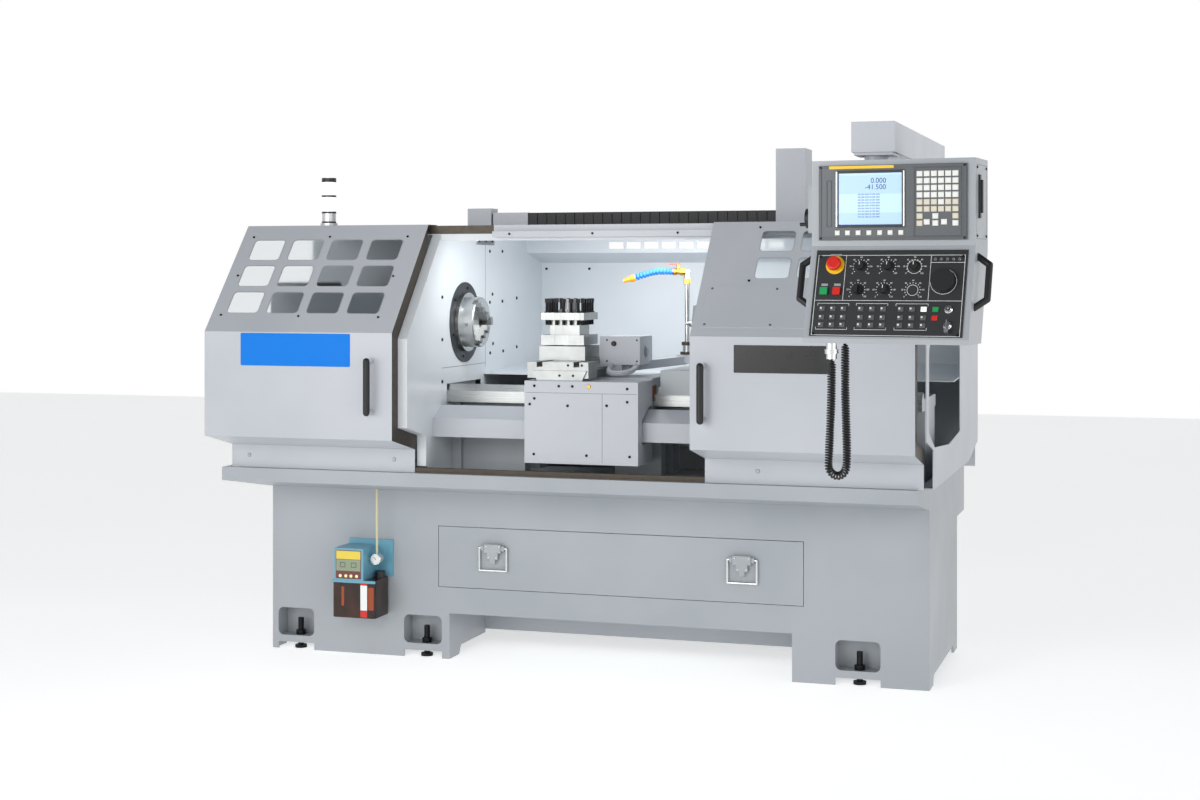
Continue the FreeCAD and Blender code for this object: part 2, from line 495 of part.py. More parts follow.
def chuck_body():
    front = chuck_front()
    body = spindle_rod(CHUCK_RADIUS, front - CHUCK_THICK, front)
    rim = [e for e in body.Edges if e.BoundBox.XMin > front - 1 and e.Closed]
    body = body.makeChamfer(3, rim)
    body = cut(body, spindle_rod(CHUCK_BORE, front - CHUCK_THICK - REACH, front + REACH))
    half = JAW_WIDTH / 2 + SLIDE_GAP
    key_x = front - CHUCK_THICK / 2
    for number in range(3):
        slot = box(front - JAW_STEP, SPINDLE_Y - half, SPINDLE_Z,
                   front + REACH, SPINDLE_Y + half, SPINDLE_Z + CHUCK_RADIUS + REACH)
        key = box(key_x - 6, SPINDLE_Y - 6, SPINDLE_Z + CHUCK_RADIUS - 16,
                  key_x + 6, SPINDLE_Y + 6, SPINDLE_Z + CHUCK_RADIUS + REACH)
        key.rotate(V(0, SPINDLE_Y, SPINDLE_Z), X_DIR, 60)
        body = cut(body, turned_to_jaw(slot, number), turned_to_jaw(key, number))
    return body


def jaw(number):
    """A jaw whose two steps rise towards the middle of the chuck."""
    front, foot = chuck_front(), chuck_front() - JAW_STEP + SLIDE_GAP
    outer = CHUCK_RADIUS - JAW_TRAVEL
    step = (outer - JAW_INNER) / 3
    outline = [(foot, outer), (foot, JAW_INNER), (front + JAW_DEPTH, JAW_INNER),
               (front + JAW_DEPTH, JAW_INNER + step), (front + JAW_DEPTH * 2 / 3, JAW_INNER + step),
               (front + JAW_DEPTH * 2 / 3, JAW_INNER + 2 * step),
               (front + JAW_DEPTH / 3, JAW_INNER + 2 * step),
               (front + JAW_DEPTH / 3, outer)]
    blank = prism_y([(x, SPINDLE_Z + r) for x, r in outline],
                    SPINDLE_Y - JAW_WIDTH / 2, SPINDLE_Y + JAW_WIDTH / 2)
    return turned_to_jaw(blank, number)


def motor_rod(radius, x0, x1):
    return rod(radius, (x0, MOTOR_Y, MOTOR_Z), (x1, MOTOR_Y, MOTOR_Z))


def spindle_motor():
    left = PULLEY_LEFT + PULLEY_WIDTH + 24
    barrel = motor_rod(MOTOR_RADIUS, left, left + MOTOR_LENGTH)
    floor = BASE_HEIGHT + PAN_SHEET
    foot = box(left + 40, MOTOR_Y - 90, floor, left + MOTOR_LENGTH - 40, MOTOR_Y + 90, MOTOR_Z - 60)
    return cut(fuse(barrel, foot), motor_rod(MOTOR_SHAFT + FIT, left - REACH, left + 60))


def motor_pulley():
    wheel = motor_rod(MOTOR_PULLEY, PULLEY_LEFT, PULLEY_LEFT + PULLEY_WIDTH)
    rims = [motor_rod(MOTOR_PULLEY + 5, x, x + 3)
            for x in (PULLEY_LEFT, PULLEY_LEFT + PULLEY_WIDTH - 3)]
    shaft = motor_rod(MOTOR_SHAFT, PULLEY_LEFT, PULLEY_LEFT + PULLEY_WIDTH + 24 + 56)
    return fuse(wheel, shaft, *rims)


def belt_loop(extra, x0, x1):
    """The belt's outer or inner outline: two rounds and their outside tangents."""
    dy, dz = MOTOR_Y - SPINDLE_Y, MOTOR_Z - SPINDLE_Z
    gap = math.hypot(dy, dz)
    big, small = SPINDLE_PULLEY + extra, MOTOR_PULLEY + extra
    lean = math.asin((big - small) / gap)
    along = math.atan2(dz, dy)
    corners = []
    for centre_y, centre_z, radius in ((SPINDLE_Y, SPINDLE_Z, big), (MOTOR_Y, MOTOR_Z, small)):
        for side in (1, -1):
            angle = along + side * (math.pi / 2 - lean)
            corners.append((centre_y + radius * math.cos(angle), centre_z + radius * math.sin(angle)))
    band = prism_x([corners[0], corners[2], corners[3], corners[1]], x0, x1)
    return fuse(band, spindle_rod(big, x0, x1), motor_rod(small, x0, x1))


def drive_belt():
    x0 = PULLEY_LEFT + (PULLEY_WIDTH - BELT_WIDTH) / 2
    return cut(belt_loop(SLIDE_GAP + BELT_THICK, x0, x0 + BELT_WIDTH),
               belt_loop(SLIDE_GAP, x0 - REACH, x0 + BELT_WIDTH + REACH))


def belt_cover():
    front, top, low = -24.0, HEAD_TOP + 32, MOTOR_Z - 80
    outline = [(front, 1030), (front, top), (238, top), (655, 900), (655, low), (470, low)]
    inner = [(front + SHEET, 1032), (front + SHEET, top - SHEET), (237, top - SHEET),
             (655 - SHEET, 899), (655 - SHEET, low + SHEET), (471, low + SHEET)]
    shell = cut(prism_x(outline, 5, HEAD_LEFT), prism_x(inner, 5 + SHEET, HEAD_LEFT + REACH))
    foot = box(60, 560, BASE_HEIGHT + PAN_SHEET, HEAD_LEFT, 563, low + 1)
    bar_hole = spindle_rod(SPINDLE_BORE + BAR_CLEARANCE, 0, 5 + SHEET + REACH)
    return cut(fuse(shell, foot), bar_hole)


# ===== guards, rails and covers ===========================================

def headstock_guard():
    """The wall at the headstock with its door jamb, roof and the ring round the spindle."""
    floor = BASE_HEIGHT + PAN_SHEET
    foot_y = PAN_FRONT + PAN_FLANGE + 1
    slope = (PAN_LIP_BOTTOM - BASE_HEIGHT) / (PAN_FRONT + PAN_SHEET)
    wall = prism_x(list(JAMB) + [(foot_y, JAMB[-1][1]), (foot_y, floor + slope * foot_y + 1),
                                 (0, floor), (PAN_BACK - PAN_SHEET, floor),
                                 (PAN_BACK - PAN_SHEET, PAN_LIP_TOP),
                                 (PAN_BACK, PAN_LIP_TOP), (PAN_BACK, GUARD_TOP), (ROOF_FRONT, GUARD_TOP)],
                   WALL_X - SHEET, WALL_X)
    jamb = folded_sheet(JAMB[::-1], SHEET, WALL_X - JAMB_WIDTH, WALL_X)
    roof = box(RAIL_LEFT, ROOF_FRONT, GUARD_TOP - SHEET, WALL_X, CABINET_FRONT, GUARD_TOP)
    wall = fuse(wall, jamb, roof)
    ring = spindle_rod(RING_RADIUS, WALL_X - 1, WALL_X + RING_THICK)
    wall = fuse(wall, ring)
    wall = cut(wall, spindle_rod(RING_HOLE, WALL_X - 2 * SHEET, WALL_X + 2 * RING_THICK))
    gap = PANEL_GAP
    peak, lip = WAY_TOP + VEE_HEIGHT + gap, WAY_TOP - WAY_LIP - gap
    bed_hole = prism_x([(WAY_FRONT - gap, peak), (WAY_BACK + gap, peak), (WAY_BACK + gap, lip),
                        (BED_BODY[1] + gap, lip), (BED_BODY[1] + gap, 0), (-REACH - gap, 0),
                        (-REACH - gap, lip), (WAY_FRONT - gap, lip)], WALL_X - 50, WALL_X + 50)
    return cut(wall, bed_hole)


def rear_guard():
    path = [(ROOF_FRONT, HEADER_BOTTOM - 10), (ROOF_FRONT, GUARD_TOP), (LOUVRE_Y, GUARD_TOP),
            (LOUVRE_Y, LOUVRE_BOTTOM), (PAN_BACK, REAR_WALL_TOP), (PAN_BACK, SPLASH_BACK),
            (SPLASH_FRONT_Y, SPLASH_FRONT)]
    right = END_X - SHEET
    guard = folded_sheet(path, SHEET, WALL_X, right)
    skirt = box(WALL_X, PAN_BACK, PAN_LIP_TOP - 40, right, PAN_BACK + SHEET, REAR_WALL_TOP)
    guard = fuse(guard, skirt)
    for i in range(LOUVRE_COUNT):
        x = LOUVRE_LEFT + i * LOUVRE_PITCH
        slot = box(x, LOUVRE_Y - 30, LOUVRE_BOTTOM + 12, x + LOUVRE_WIDTH, LOUVRE_Y + 30,
                   LOUVRE_BOTTOM + 12 + LOUVRE_HEIGHT)
        guard = cut(guard, slot)
    return guard


def door_rails():
    """Two strips on the chip pan's front flange, and the rail that the doors hang on."""
    first = PAN_FRONT + 20 + DOOR_SHEET + PANEL_GAP
    strips = [box(0, y, PAN_LIP_TOP, BASE_LENGTH - 7, y + 3, PAN_LIP_TOP + 17)
              for y in (first, first + 12)]
    rail = box(RAIL_LEFT, RAIL_FRONT, RAIL_BOTTOM, END_X - SHEET, RAIL_BACK, RAIL_TOP)
    rail = cut(rail, box(RAIL_LEFT + 4, RAIL_FRONT + 6, RAIL_BOTTOM - REACH,
                         END_X - SHEET - 4, RAIL_BACK - 6, RAIL_TOP - 6))
    return strips + [rail]


def header_beam():
    path = [(RAIL_FRONT, HEADER_BOTTOM), (HEADER_FRONT, HEADER_BOTTOM), (HEADER_FRONT, HEADER_STEP_Z),
            (HEADER_STEP_Y, HEADER_STEP_Z), (HEADER_STEP_Y, RAIL_TOP), (RAIL_FRONT, RAIL_TOP)]
    return folded_sheet(path, 2, HEADER_LEFT, END_X - SHEET)


def right_end_panel():
    """The sheet at the tailstock end, with a large opening behind the right door."""
    foot = PAN_FRONT + PAN_FLANGE + 1
    top = RAIL_TOP + 3
    outline = [(JAMB[0][0], top)] + [(y, z) for y, z in JAMB[1:4]] + [
        (JAMB[3][0], PAN_LIP_TOP), (END_FOOT, PAN_LIP_TOP), (END_BACK, END_CORNER), (END_BACK, END_TOP),
        (PAN_BACK, END_TOP), (PAN_BACK, top)]
    sheet = prism_x(outline, END_X - SHEET, END_X)
    opening = [(-50, 1380), (-330, 1085), (-330, 845), (-200, 790), (150, 770), (447, 790), (447, 1380)]
    sheet = cut(sheet, prism_x(opening, END_X - 50, END_X + 50))
    flange = box(BASE_LENGTH - PAN_SHEET, foot, PAN_LIP_TOP, END_X, END_FOOT, PAN_LIP_TOP + SHEET)
    left = END_X - END_BOX
    back = box(left, END_BACK - SHEET, END_CORNER, END_X, END_BACK, END_TOP)
    side = box(left, PAN_BACK + SHEET, END_CORNER, left + SHEET, END_BACK, END_TOP)
    lid = box(left, PAN_BACK + SHEET, END_TOP - SHEET, END_X, END_BACK, END_TOP)
    return fuse(sheet, flange, back, side, lid)


# ===== doors ==============================================================

def door_profile():
    hook_y = RAIL_BACK + PANEL_GAP
    top = DOOR_SLOPE_TOP[1]
    return [(hook_y + DOOR_SHEET, RAIL_TOP - 12), (hook_y + DOOR_SHEET, top), DOOR_SLOPE_TOP, DOOR_FOLD,
            DOOR_FRONT_BOTTOM, DOOR_SKIRT_TOP, (DOOR_SKIRT_TOP[0], PAN_LIP_TOP + PANEL_GAP)]


def slope_frame():
    """Foot, direction and outward normal of the door's slanted face, in (y, z)."""
    (y0, z0), (y1, z1) = DOOR_FOLD, DOOR_SLOPE_TOP
    length = math.hypot(y1 - y0, z1 - z0)
    return (y0, z0), ((y1 - y0) / length, (z1 - z0) / length)


def on_slope(shape):
    """Lays a piece drawn upright (x, depth along +y, height from 0) on the slanted face."""
    (y0, z0), (uy, uz) = slope_frame()
    shape.rotate(V(0, 0, 0), X_DIR, math.degrees(math.atan2(uz, uy)) - 90)
    shape.translate(V(0, y0, z0))
    return shape


def pane_cutters(first, pitch, rows, width, height):
    lefts = [first + i * pitch for i in range(PANE_COLUMNS)]
    return [on_slope(rounded_plate(x, z, x + width, z + height, PANE_RADIUS, -10, 10))
            for x in lefts for z in rows]


def door(left, width, openings):
    profile = door_profile()
    shell = folded_sheet(profile[::-1], DOOR_SHEET, left, left + width)
    returned = profile[2:6]
    for x0, x1 in ((left, left + DOOR_SHEET), (left + width - DOOR_SHEET, left + width)):
        edge = folded_sheet(returned[::-1], DOOR_RETURN, x0, x1)
        shell = fuse(shell, cut(edge, box(x0 - 1, HEADER_FRONT - 4, HEADER_BOTTOM - 60,
                                          x1 + 1, 0, DOOR_SLOPE_TOP[1] + 1)))
    return cut(shell, *pane_cutters(*openings))


def window(first, pitch, rows, width, height):
    """One sheet of polycarbonate behind a door's rounded openings."""
    x1 = first + (PANE_COLUMNS - 1) * pitch + width + PANE_MARGIN
    sheet = box(first - PANE_MARGIN, DOOR_SHEET, rows[-1] - PANE_MARGIN,
                x1, DOOR_SHEET + PANE_THICK, rows[0] + height + PANE_MARGIN)
    return on_slope(sheet)


def door_handle(x):
    """An upright grip with a stand-off foot at each end."""
    front = DOOR_FRONT_BOTTOM[0]
    y = front - HANDLE_STAND
    low, high = HANDLE_BOTTOM + 14, HANDLE_TOP - 14
    grip = rod(HANDLE_RADIUS, (x, y, low), (x, y, high))
    ends = [Part.makeSphere(HANDLE_RADIUS, V(x, y, z)) for z in (low, high)]
    feet = [rod(HANDLE_RADIUS, (x, y, z), (x, front, z)) for z in (low, high)]
    return fuse(grip, *ends, *feet)


# ===== carriage, cross slide and turret ===================================

def saddle():
    under = WAY_TOP - WAY_LIP
    body = cut(box(SADDLE_LEFT, SADDLE_FRONT, WAY_TOP - 20, SADDLE_RIGHT, SADDLE_BACK, SADDLE_TOP),
               prism_x([(WAY_FRONT - 4, 0)] + [(WAY_FRONT - 4, WAY_TOP + SLIDE_GAP)]
                       + way_outline(SLIDE_GAP) + [(WAY_BACK + 4, WAY_TOP + SLIDE_GAP), (WAY_BACK + 4, 0)],
                       SADDLE_LEFT - 1, SADDLE_RIGHT + 1))
    front_leg = box(SADDLE_LEFT, SADDLE_FRONT, under - 24, SADDLE_RIGHT, WAY_FRONT - 4, SADDLE_TOP)
    keeper = box(SADDLE_LEFT, SADDLE_FRONT, under - 24, SADDLE_RIGHT, -6, under - SLIDE_GAP)
    back_keeper = box(SADDLE_LEFT, BED_BODY[1] + 4, under - 24, SADDLE_RIGHT, SADDLE_BACK, under - SLIDE_GAP)
    back_leg = box(SADDLE_LEFT, WAY_BACK + 4, under - 24, SADDLE_RIGHT, SADDLE_BACK, SADDLE_TOP)
    top, low = DOVETAIL_TOP, SADDLE_TOP - 1
    tail = prism_y([(DOVETAIL_X - DOVETAIL_TOP_HALF, top), (DOVETAIL_X - DOVETAIL_FOOT_HALF, low),
                    (DOVETAIL_X + DOVETAIL_FOOT_HALF, low), (DOVETAIL_X + DOVETAIL_TOP_HALF, top)],
                   DOVETAIL_FRONT, SADDLE_BACK)
    nose = box(DOVETAIL_X - DOVETAIL_FOOT_HALF, DOVETAIL_FRONT, APRON_TOP,
               DOVETAIL_X + DOVETAIL_FOOT_HALF, SADDLE_FRONT + 1, SADDLE_TOP)
    nut_left = (SADDLE_LEFT + SADDLE_RIGHT - NUT_LENGTH) / 2
    nut_right = nut_left + NUT_LENGTH
    nut = box(nut_left, SCREW_Y - NUT_RADIUS, SCREW_Z - NUT_RADIUS,
              nut_right, SCREW_Y + NUT_RADIUS, SCREW_Z + NUT_RADIUS)
    web = box(nut_left, SCREW_Y + NUT_RADIUS - 1, SCREW_Z - 14, nut_right, WAY_FRONT - 4, SCREW_Z + 14)
    hanger = box(nut_left, SADDLE_FRONT, SCREW_Z - 14, nut_right, WAY_FRONT - 4, under)
    whole = fuse(body, front_leg, keeper, back_leg, back_keeper, tail, nose, nut, web, hanger)
    return cut(whole, rod(SCREW_RADIUS + FIT, (nut_left - 1, SCREW_Y, SCREW_Z),
                          (nut_right + 1, SCREW_Y, SCREW_Z)))


def apron():
    """A box open towards the bed, with a notch in each side for the cover of the screw."""
    w = APRON_WALL
    shell = cut(box(SADDLE_LEFT, APRON_FRONT, APRON_BOTTOM, SADDLE_RIGHT, APRON_BACK, APRON_TOP),
                box(SADDLE_LEFT + w, APRON_FRONT + w, APRON_BOTTOM + w,
                    SADDLE_RIGHT - w, APRON_BACK + REACH, APRON_TOP - w))
    s = COVER_SPACE
    notch = prism_x([(APRON_BACK + REACH, COVER_TOP + s + 6), (COVER_BACK, COVER_TOP + s),
                     (COVER_FRONT - s, COVER_EDGE + s), (COVER_FRONT - s, COVER_BOTTOM - s),
                     (APRON_BACK + REACH, COVER_BOTTOM - s)], SADDLE_LEFT - REACH, SADDLE_RIGHT + REACH)
    return cut(shell, notch)


def cross_slide():
    low = SADDLE_TOP + 4
    body = fuse(box(SLIDE_LEFT, SLIDE_FRONT, low, SLIDE_RIGHT, SLIDE_BACK, SLIDE_TOP),
                box(SLIDE_RIGHT - 1, SLIDE_FRONT, low, SLIDE_EAR, SLIDE_EAR_BACK, SLIDE_TOP))
    g = SLIDE_GAP
    groove = prism_y([(DOVETAIL_X - DOVETAIL_TOP_HALF - g, DOVETAIL_TOP + g),
                      (DOVETAIL_X - DOVETAIL_FOOT_HALF - 2 - g, low - 1),
                      (DOVETAIL_X + DOVETAIL_FOOT_HALF + 2 + g, low - 1),
                      (DOVETAIL_X + DOVETAIL_TOP_HALF + g, DOVETAIL_TOP + g)],
                     SLIDE_FRONT - REACH, SLIDE_BACK + REACH)
    body = cut(body, groove)
    for offset in SLOT_OFFSETS:
        x = DOVETAIL_X + offset
        body = cut(body, box(x - SLOT_WIDTH / 2, SLIDE_FRONT - REACH, SLIDE_TOP - SLOT_DEPTH,
                             x + SLOT_WIDTH / 2, SLIDE_BACK + REACH, SLIDE_TOP + REACH))
    half = TURRET_BLOCK / 2
    block = box(TURRET_X - half, TURRET_Y - half, SLIDE_TOP, TURRET_X + half, TURRET_Y + half, BLOCK_TOP)
    pivot = rod(TURRET_PIVOT, (TURRET_X, TURRET_Y, BLOCK_TOP - 1), (TURRET_X, TURRET_Y, UPPER_BOTTOM - 10))
    return fuse(body, block, pivot)


def turret_drive():
    """The indexing drive's housing, its cable duct and the conduit that loops below it."""
    housing = box(SLIDE_RIGHT, DRIVE_FRONT, DRIVE_BOTTOM, DRIVE_RIGHT, DRIVE_BACK, DRIVE_TOP)
    (x0, y0, z0), (x1, y1, z1) = DUCT_PATH
    half = DUCT_SIZE / 2
    length = math.hypot(x1 - x0, y1 - y0)
    duct = Part.makeBox(length, DUCT_SIZE, DUCT_HEIGHT, V(0, -half, -half))
    duct.rotate(V(0, 0, 0), Y_DIR, -math.degrees(math.atan2(z1 - z0, length)))
    duct.rotate(V(0, 0, 0), Z_DIR, math.degrees(math.atan2(y1 - y0, x1 - x0)))
    duct.translate(V(x0, y0, z0))
    bracket = box(x1 - 20, y1 - 22, z1 - 14, PIPE_X + 22, y1 + 22, PIPE_FOOT)
    pin = rod(PIPE_PIN, (PIPE_X, PIPE_Y, PIPE_FOOT - 1), (PIPE_X, PIPE_Y, PIPE_FOOT + PIPE_SOCKET / 2))
    conduit = tube_along(CONDUIT_ROUTE, CONDUIT_RADIUS, "conduit")
    return fuse(housing, duct, bracket, pin, conduit)


def square_z(size, x, y, z0, z1):
    return box(x - size / 2, y - size / 2, z0, x + size / 2, y + size / 2, z1)


def turret_head():
    lower = square_z(TURRET_PLATE, TURRET_X, TURRET_Y, LOWER_BOTTOM, LOWER_TOP)
    core = square_z(TURRET_CORE, TURRET_X, TURRET_Y, LOWER_TOP - 1, UPPER_BOTTOM + 1)
    upper = square_z(TURRET_PLATE, TURRET_X, TURRET_Y, UPPER_BOTTOM, UPPER_TOP)

    def turned(radius, z0, z1):
        return rod(radius, (TURRET_X, TURRET_Y, z0), (TURRET_X, TURRET_Y, z1))
    knob = turned(TURRET_POST, UPPER_TOP - 1, POST_TOP)
    collar = turned(TURRET_POST + 10, UPPER_TOP - 1, UPPER_TOP + 10)
    seat = turned(TURRET_PIVOT + 12, BLOCK_TOP + SLIDE_GAP, LOWER_BOTTOM + 1)
    bore = turned(TURRET_PIVOT + FIT, BLOCK_TOP - REACH, UPPER_BOTTOM - 9)
    whole = cut(fuse(lower, core, upper, knob, collar, seat), bore)
    for x, y in tool_screw_places():
        whole = cut(whole, rod(TOOL_SCREW + FIT, (x, y, UPPER_BOTTOM - 1), (x, y, UPPER_TOP + 1)))
    return whole


def tool_screw_places():
    """Four rows of clamp screws, one along each side of the turret's upper plate."""
    reach = TURRET_PLATE / 2 - 12
    places = []
    for side in range(4):
        angle = math.radians(90 * side)
        for i in range(TOOL_SCREWS):
            along = (i - (TOOL_SCREWS - 1) / 2) * 2 * (reach - 12) / (TOOL_SCREWS - 1)
            places.append((TURRET_X + along * math.cos(angle) + reach * math.sin(angle),
                           TURRET_Y + along * math.sin(angle) - reach * math.cos(angle)))
    return places


def turret_screws():
    """Square-headed clamp screws."""
    screws = []
    for x, y in tool_screw_places():
        shank = rod(TOOL_SCREW, (x, y, TOOL_SCREW_FOOT), (x, y, TOOL_SCREW_TOP - 12))
        collar = rod(1.6 * TOOL_SCREW, (x, y, UPPER_TOP), (x, y, UPPER_TOP + 4))
        head = square_z(2.2 * TOOL_SCREW, x, y, TOOL_SCREW_TOP - 14, TOOL_SCREW_TOP)
        screws.append(fuse(shank, collar, head))
    return screws


def coolant_pipe():
    """A riser with an elbow, a valve and a jointed hose, turning on the bracket's pin."""
    def riser(radius, z0, z1):
        return rod(radius, (PIPE_X, PIPE_Y, z0), (PIPE_X, PIPE_Y, z1))
    socket = riser(SOCKET_RADIUS, PIPE_FOOT + SLIDE_GAP, PIPE_FOOT + PIPE_SOCKET)
    pipe = riser(PIPE_RADIUS, PIPE_FOOT + PIPE_SOCKET - 1, PIPE_TOP)
    collar = riser(PIPE_RADIUS + 2, PIPE_TOP - 30, PIPE_TOP)
    elbow = Part.makeSphere(PIPE_RADIUS + 3, V(PIPE_X, PIPE_Y, PIPE_TOP))
    valve = rod(PIPE_RADIUS + 2, (PIPE_X, PIPE_Y, PIPE_TOP), HOSE_POINTS[0])
    hose = [rod(HOSE_RADIUS, a, b) for a, b in zip(HOSE_POINTS[:-1], HOSE_POINTS[1:-1])]
    knees = [Part.makeSphere(HOSE_RADIUS, V(*p)) for p in HOSE_POINTS[:-1]]
    nozzle = cone(HOSE_RADIUS, HOSE_RADIUS / 2, HOSE_POINTS[-2], HOSE_POINTS[-1])
    bore = riser(PIPE_PIN + FIT, PIPE_FOOT - 1, PIPE_FOOT + PIPE_SOCKET / 2 + 1)
    return cut(fuse(socket, pipe, collar, elbow, valve, *hose, *knees, nozzle), bore)


# ===== tailstock ==========================================================

def tailstock():
    foot = cut(box(TAIL_LEFT, WAY_FRONT - 14, WAY_TOP - 2, TAIL_RIGHT, TAIL_BACK, TAIL_BASE_TOP),
               prism_x([(WAY_FRONT - 20, 0), (WAY_FRONT - 20, WAY_TOP + SLIDE_GAP)]
                       + way_outline(SLIDE_GAP) + [(WAY_BACK, 0)], TAIL_LEFT - 1, TAIL_RIGHT + 1))
    clamp = box(TAIL_LEFT + 120, WAY_WINDOW[0] + 12, WAY_TOP - 64,
                TAIL_RIGHT - 120, WAY_WINDOW[1] - 12, WAY_TOP + 30)
    half = TAIL_WIDTH / 2
    body = prism_x([(SPINDLE_Y - half - 20, TAIL_BASE_TOP - 1), (SPINDLE_Y - half + 10, SPINDLE_Z - 20),
                    (SPINDLE_Y - 40, SPINDLE_Z + 62), (SPINDLE_Y + 40, SPINDLE_Z + 62),
                    (SPINDLE_Y + half - 10, SPINDLE_Z - 20), (SPINDLE_Y + half + 20, TAIL_BASE_TOP - 1)],
                   TAIL_BODY_LEFT, TAIL_RIGHT)
    bore = spindle_rod(QUILL_RADIUS + FIT, TAIL_BODY_LEFT - REACH, TAIL_RIGHT - 30)
    shaft_hole = spindle_rod(TAIL_SHAFT + FIT, TAIL_RIGHT - 60, TAIL_RIGHT + REACH)
    return cut(fuse(foot, clamp, body), bore, shaft_hole)


def tailstock_quill():
    barrel = spindle_rod(QUILL_RADIUS, QUILL_NOSE, TAIL_RIGHT - 100)
    centre = cone(18, 1.5, (QUILL_NOSE + 1, SPINDLE_Y, SPINDLE_Z), (QUILL_TIP, SPINDLE_Y, SPINDLE_Z))
    screw_room = spindle_rod(TAIL_SHAFT + SLIDE_GAP, TAIL_RIGHT - 260, TAIL_RIGHT)
    return cut(fuse(barrel, centre), screw_room)


def tailstock_handwheel():
    screw = spindle_rod(TAIL_SHAFT, TAIL_RIGHT - 220, TAIL_RIGHT + 40)
    left = TAIL_RIGHT + 22
    rim = cut(spindle_rod(TAIL_WHEEL, left, left + TAIL_WHEEL_THICK),
              spindle_rod(TAIL_WHEEL - 14, left - REACH, left + TAIL_WHEEL_THICK + REACH))
    hub = spindle_rod(TAIL_SHAFT + 12, left - 8, left + TAIL_WHEEL_THICK + 4)
    spokes = []
    for i in range(3):
        spoke = box(left + 4, SPINDLE_Y - 8, SPINDLE_Z, left + TAIL_WHEEL_THICK - 4, SPINDLE_Y + 8,
                    SPINDLE_Z + TAIL_WHEEL - 6)
        spoke.rotate(V(0, SPINDLE_Y, SPINDLE_Z), X_DIR, 120 * i)
        spokes.append(spoke)
    knob = rod(10, (left + 4, SPINDLE_Y, SPINDLE_Z + TAIL_WHEEL - 8),
               (left + TAIL_WHEEL_THICK + 50, SPINDLE_Y, SPINDLE_Z + TAIL_WHEEL - 8))
    return fuse(screw, rim, hub, knob, *spokes)


# ===== electrical cabinet, roof gear, light and lubricator =================

def electrical_cabinet():
    floor = BASE_HEIGHT + PAN_SHEET
    back = PAN_BACK - PAN_SHEET
    right = WALL_X - SHEET
    outline = [(CABINET_STEP_Y, floor), (CABINET_STEP_Y, CABINET_STEP_Z), (CABINET_FRONT, CABINET_STEP_Z),
               (CABINET_FRONT, CABINET_TOP), (back, CABINET_TOP), (back, floor)]
    t = SHEET
    room = [(CABINET_STEP_Y + t, floor + t), (CABINET_STEP_Y + t, CABINET_STEP_Z + t),
            (CABINET_FRONT + t, CABINET_STEP_Z + t), (CABINET_FRONT + t, CABINET_TOP - t),
            (back - t, CABINET_TOP - t), (back - t, floor + t)]
    upper = cut(prism_x(outline, CABINET_LEFT, right),
                box(CABINET_LEFT - REACH, 0, 0, PAN_SHEET, PAN_BACK, CABINET_STEP_Z))
    end = box(PAN_SHEET, CABINET_STEP_Y, floor, PAN_SHEET + t, back, CABINET_STEP_Z + 1)
    shelf = box(CABINET_LEFT, CABINET_FRONT, CABINET_STEP_Z, PAN_SHEET + t, back, CABINET_STEP_Z + t)
    hollow = cut(upper, prism_x(room, CABINET_LEFT + t, right - t))
    return fuse(hollow, end, shelf)


def chain_run(z0, z1):
    """A row of links: side plates with a gap between neighbours, on a slimmer core."""
    half = CHAIN_WIDTH / 2
    core = box(CHAIN_LEFT, CHAIN_Y - half + 4, z0 + 3, CHAIN_RIGHT, CHAIN_Y + half - 4, z1 - 3)
    count = int((CHAIN_RIGHT - CHAIN_LEFT) / CHAIN_PITCH)
    links = [box(CHAIN_LEFT + i * CHAIN_PITCH + 1, CHAIN_Y - half, z0,
                 CHAIN_LEFT + (i + 1) * CHAIN_PITCH - 3, CHAIN_Y + half, z1) for i in range(count)]
    return core.multiFuse(links).removeSplitter()


def cable_chain():
    middle = (GUARD_TOP + CHAIN_TOP) / 2
    return [chain_run(GUARD_TOP, middle - 1), chain_run(middle - 1, CHAIN_TOP)]


def service_tower():
    half = CHAIN_WIDTH / 2 + 6
    boxes = [box(x0, CHAIN_Y - half, GUARD_TOP, x1, CHAIN_Y + half, top) for x0, x1, top in END_BOXES]
    x0, x1, top = TOWER
    tower = box(x0, CHAIN_Y - TOWER_DEPTH / 2, GUARD_TOP, x1, CHAIN_Y + TOWER_DEPTH / 2, top)
    return boxes + [tower]


def stack_light():
    def stage(radius, z0, z1):
        return rod(radius, (LIGHT_X, LIGHT_Y, z0), (LIGHT_X, LIGHT_Y, z1))
    return fuse(stage(LIGHT_RADIUS, GUARD_TOP, LIGHT_TOP), stage(LIGHT_RADIUS + 6, GUARD_TOP, GUARD_TOP + 42))


def lubricator_tank():
    x0 = LUBE_X
    tank = box(x0, -LUBE_TANK_DEPTH, LUBE_BOTTOM, x0 + LUBE_TANK_WIDTH, -LUBE_BACKSET, LUBE_SPLIT)
    rims = [e for e in tank.Edges if abs(e.tangentAt(e.FirstParameter).z) > 0.99]
    filler_x = x0 + LUBE_TANK_WIDTH - 18
    filler = rod(17, (filler_x, -40, LUBE_SPLIT - 1), (filler_x, -40, LUBE_SPLIT + 22))
    return fuse(tank.makeFillet(10, rims), filler)


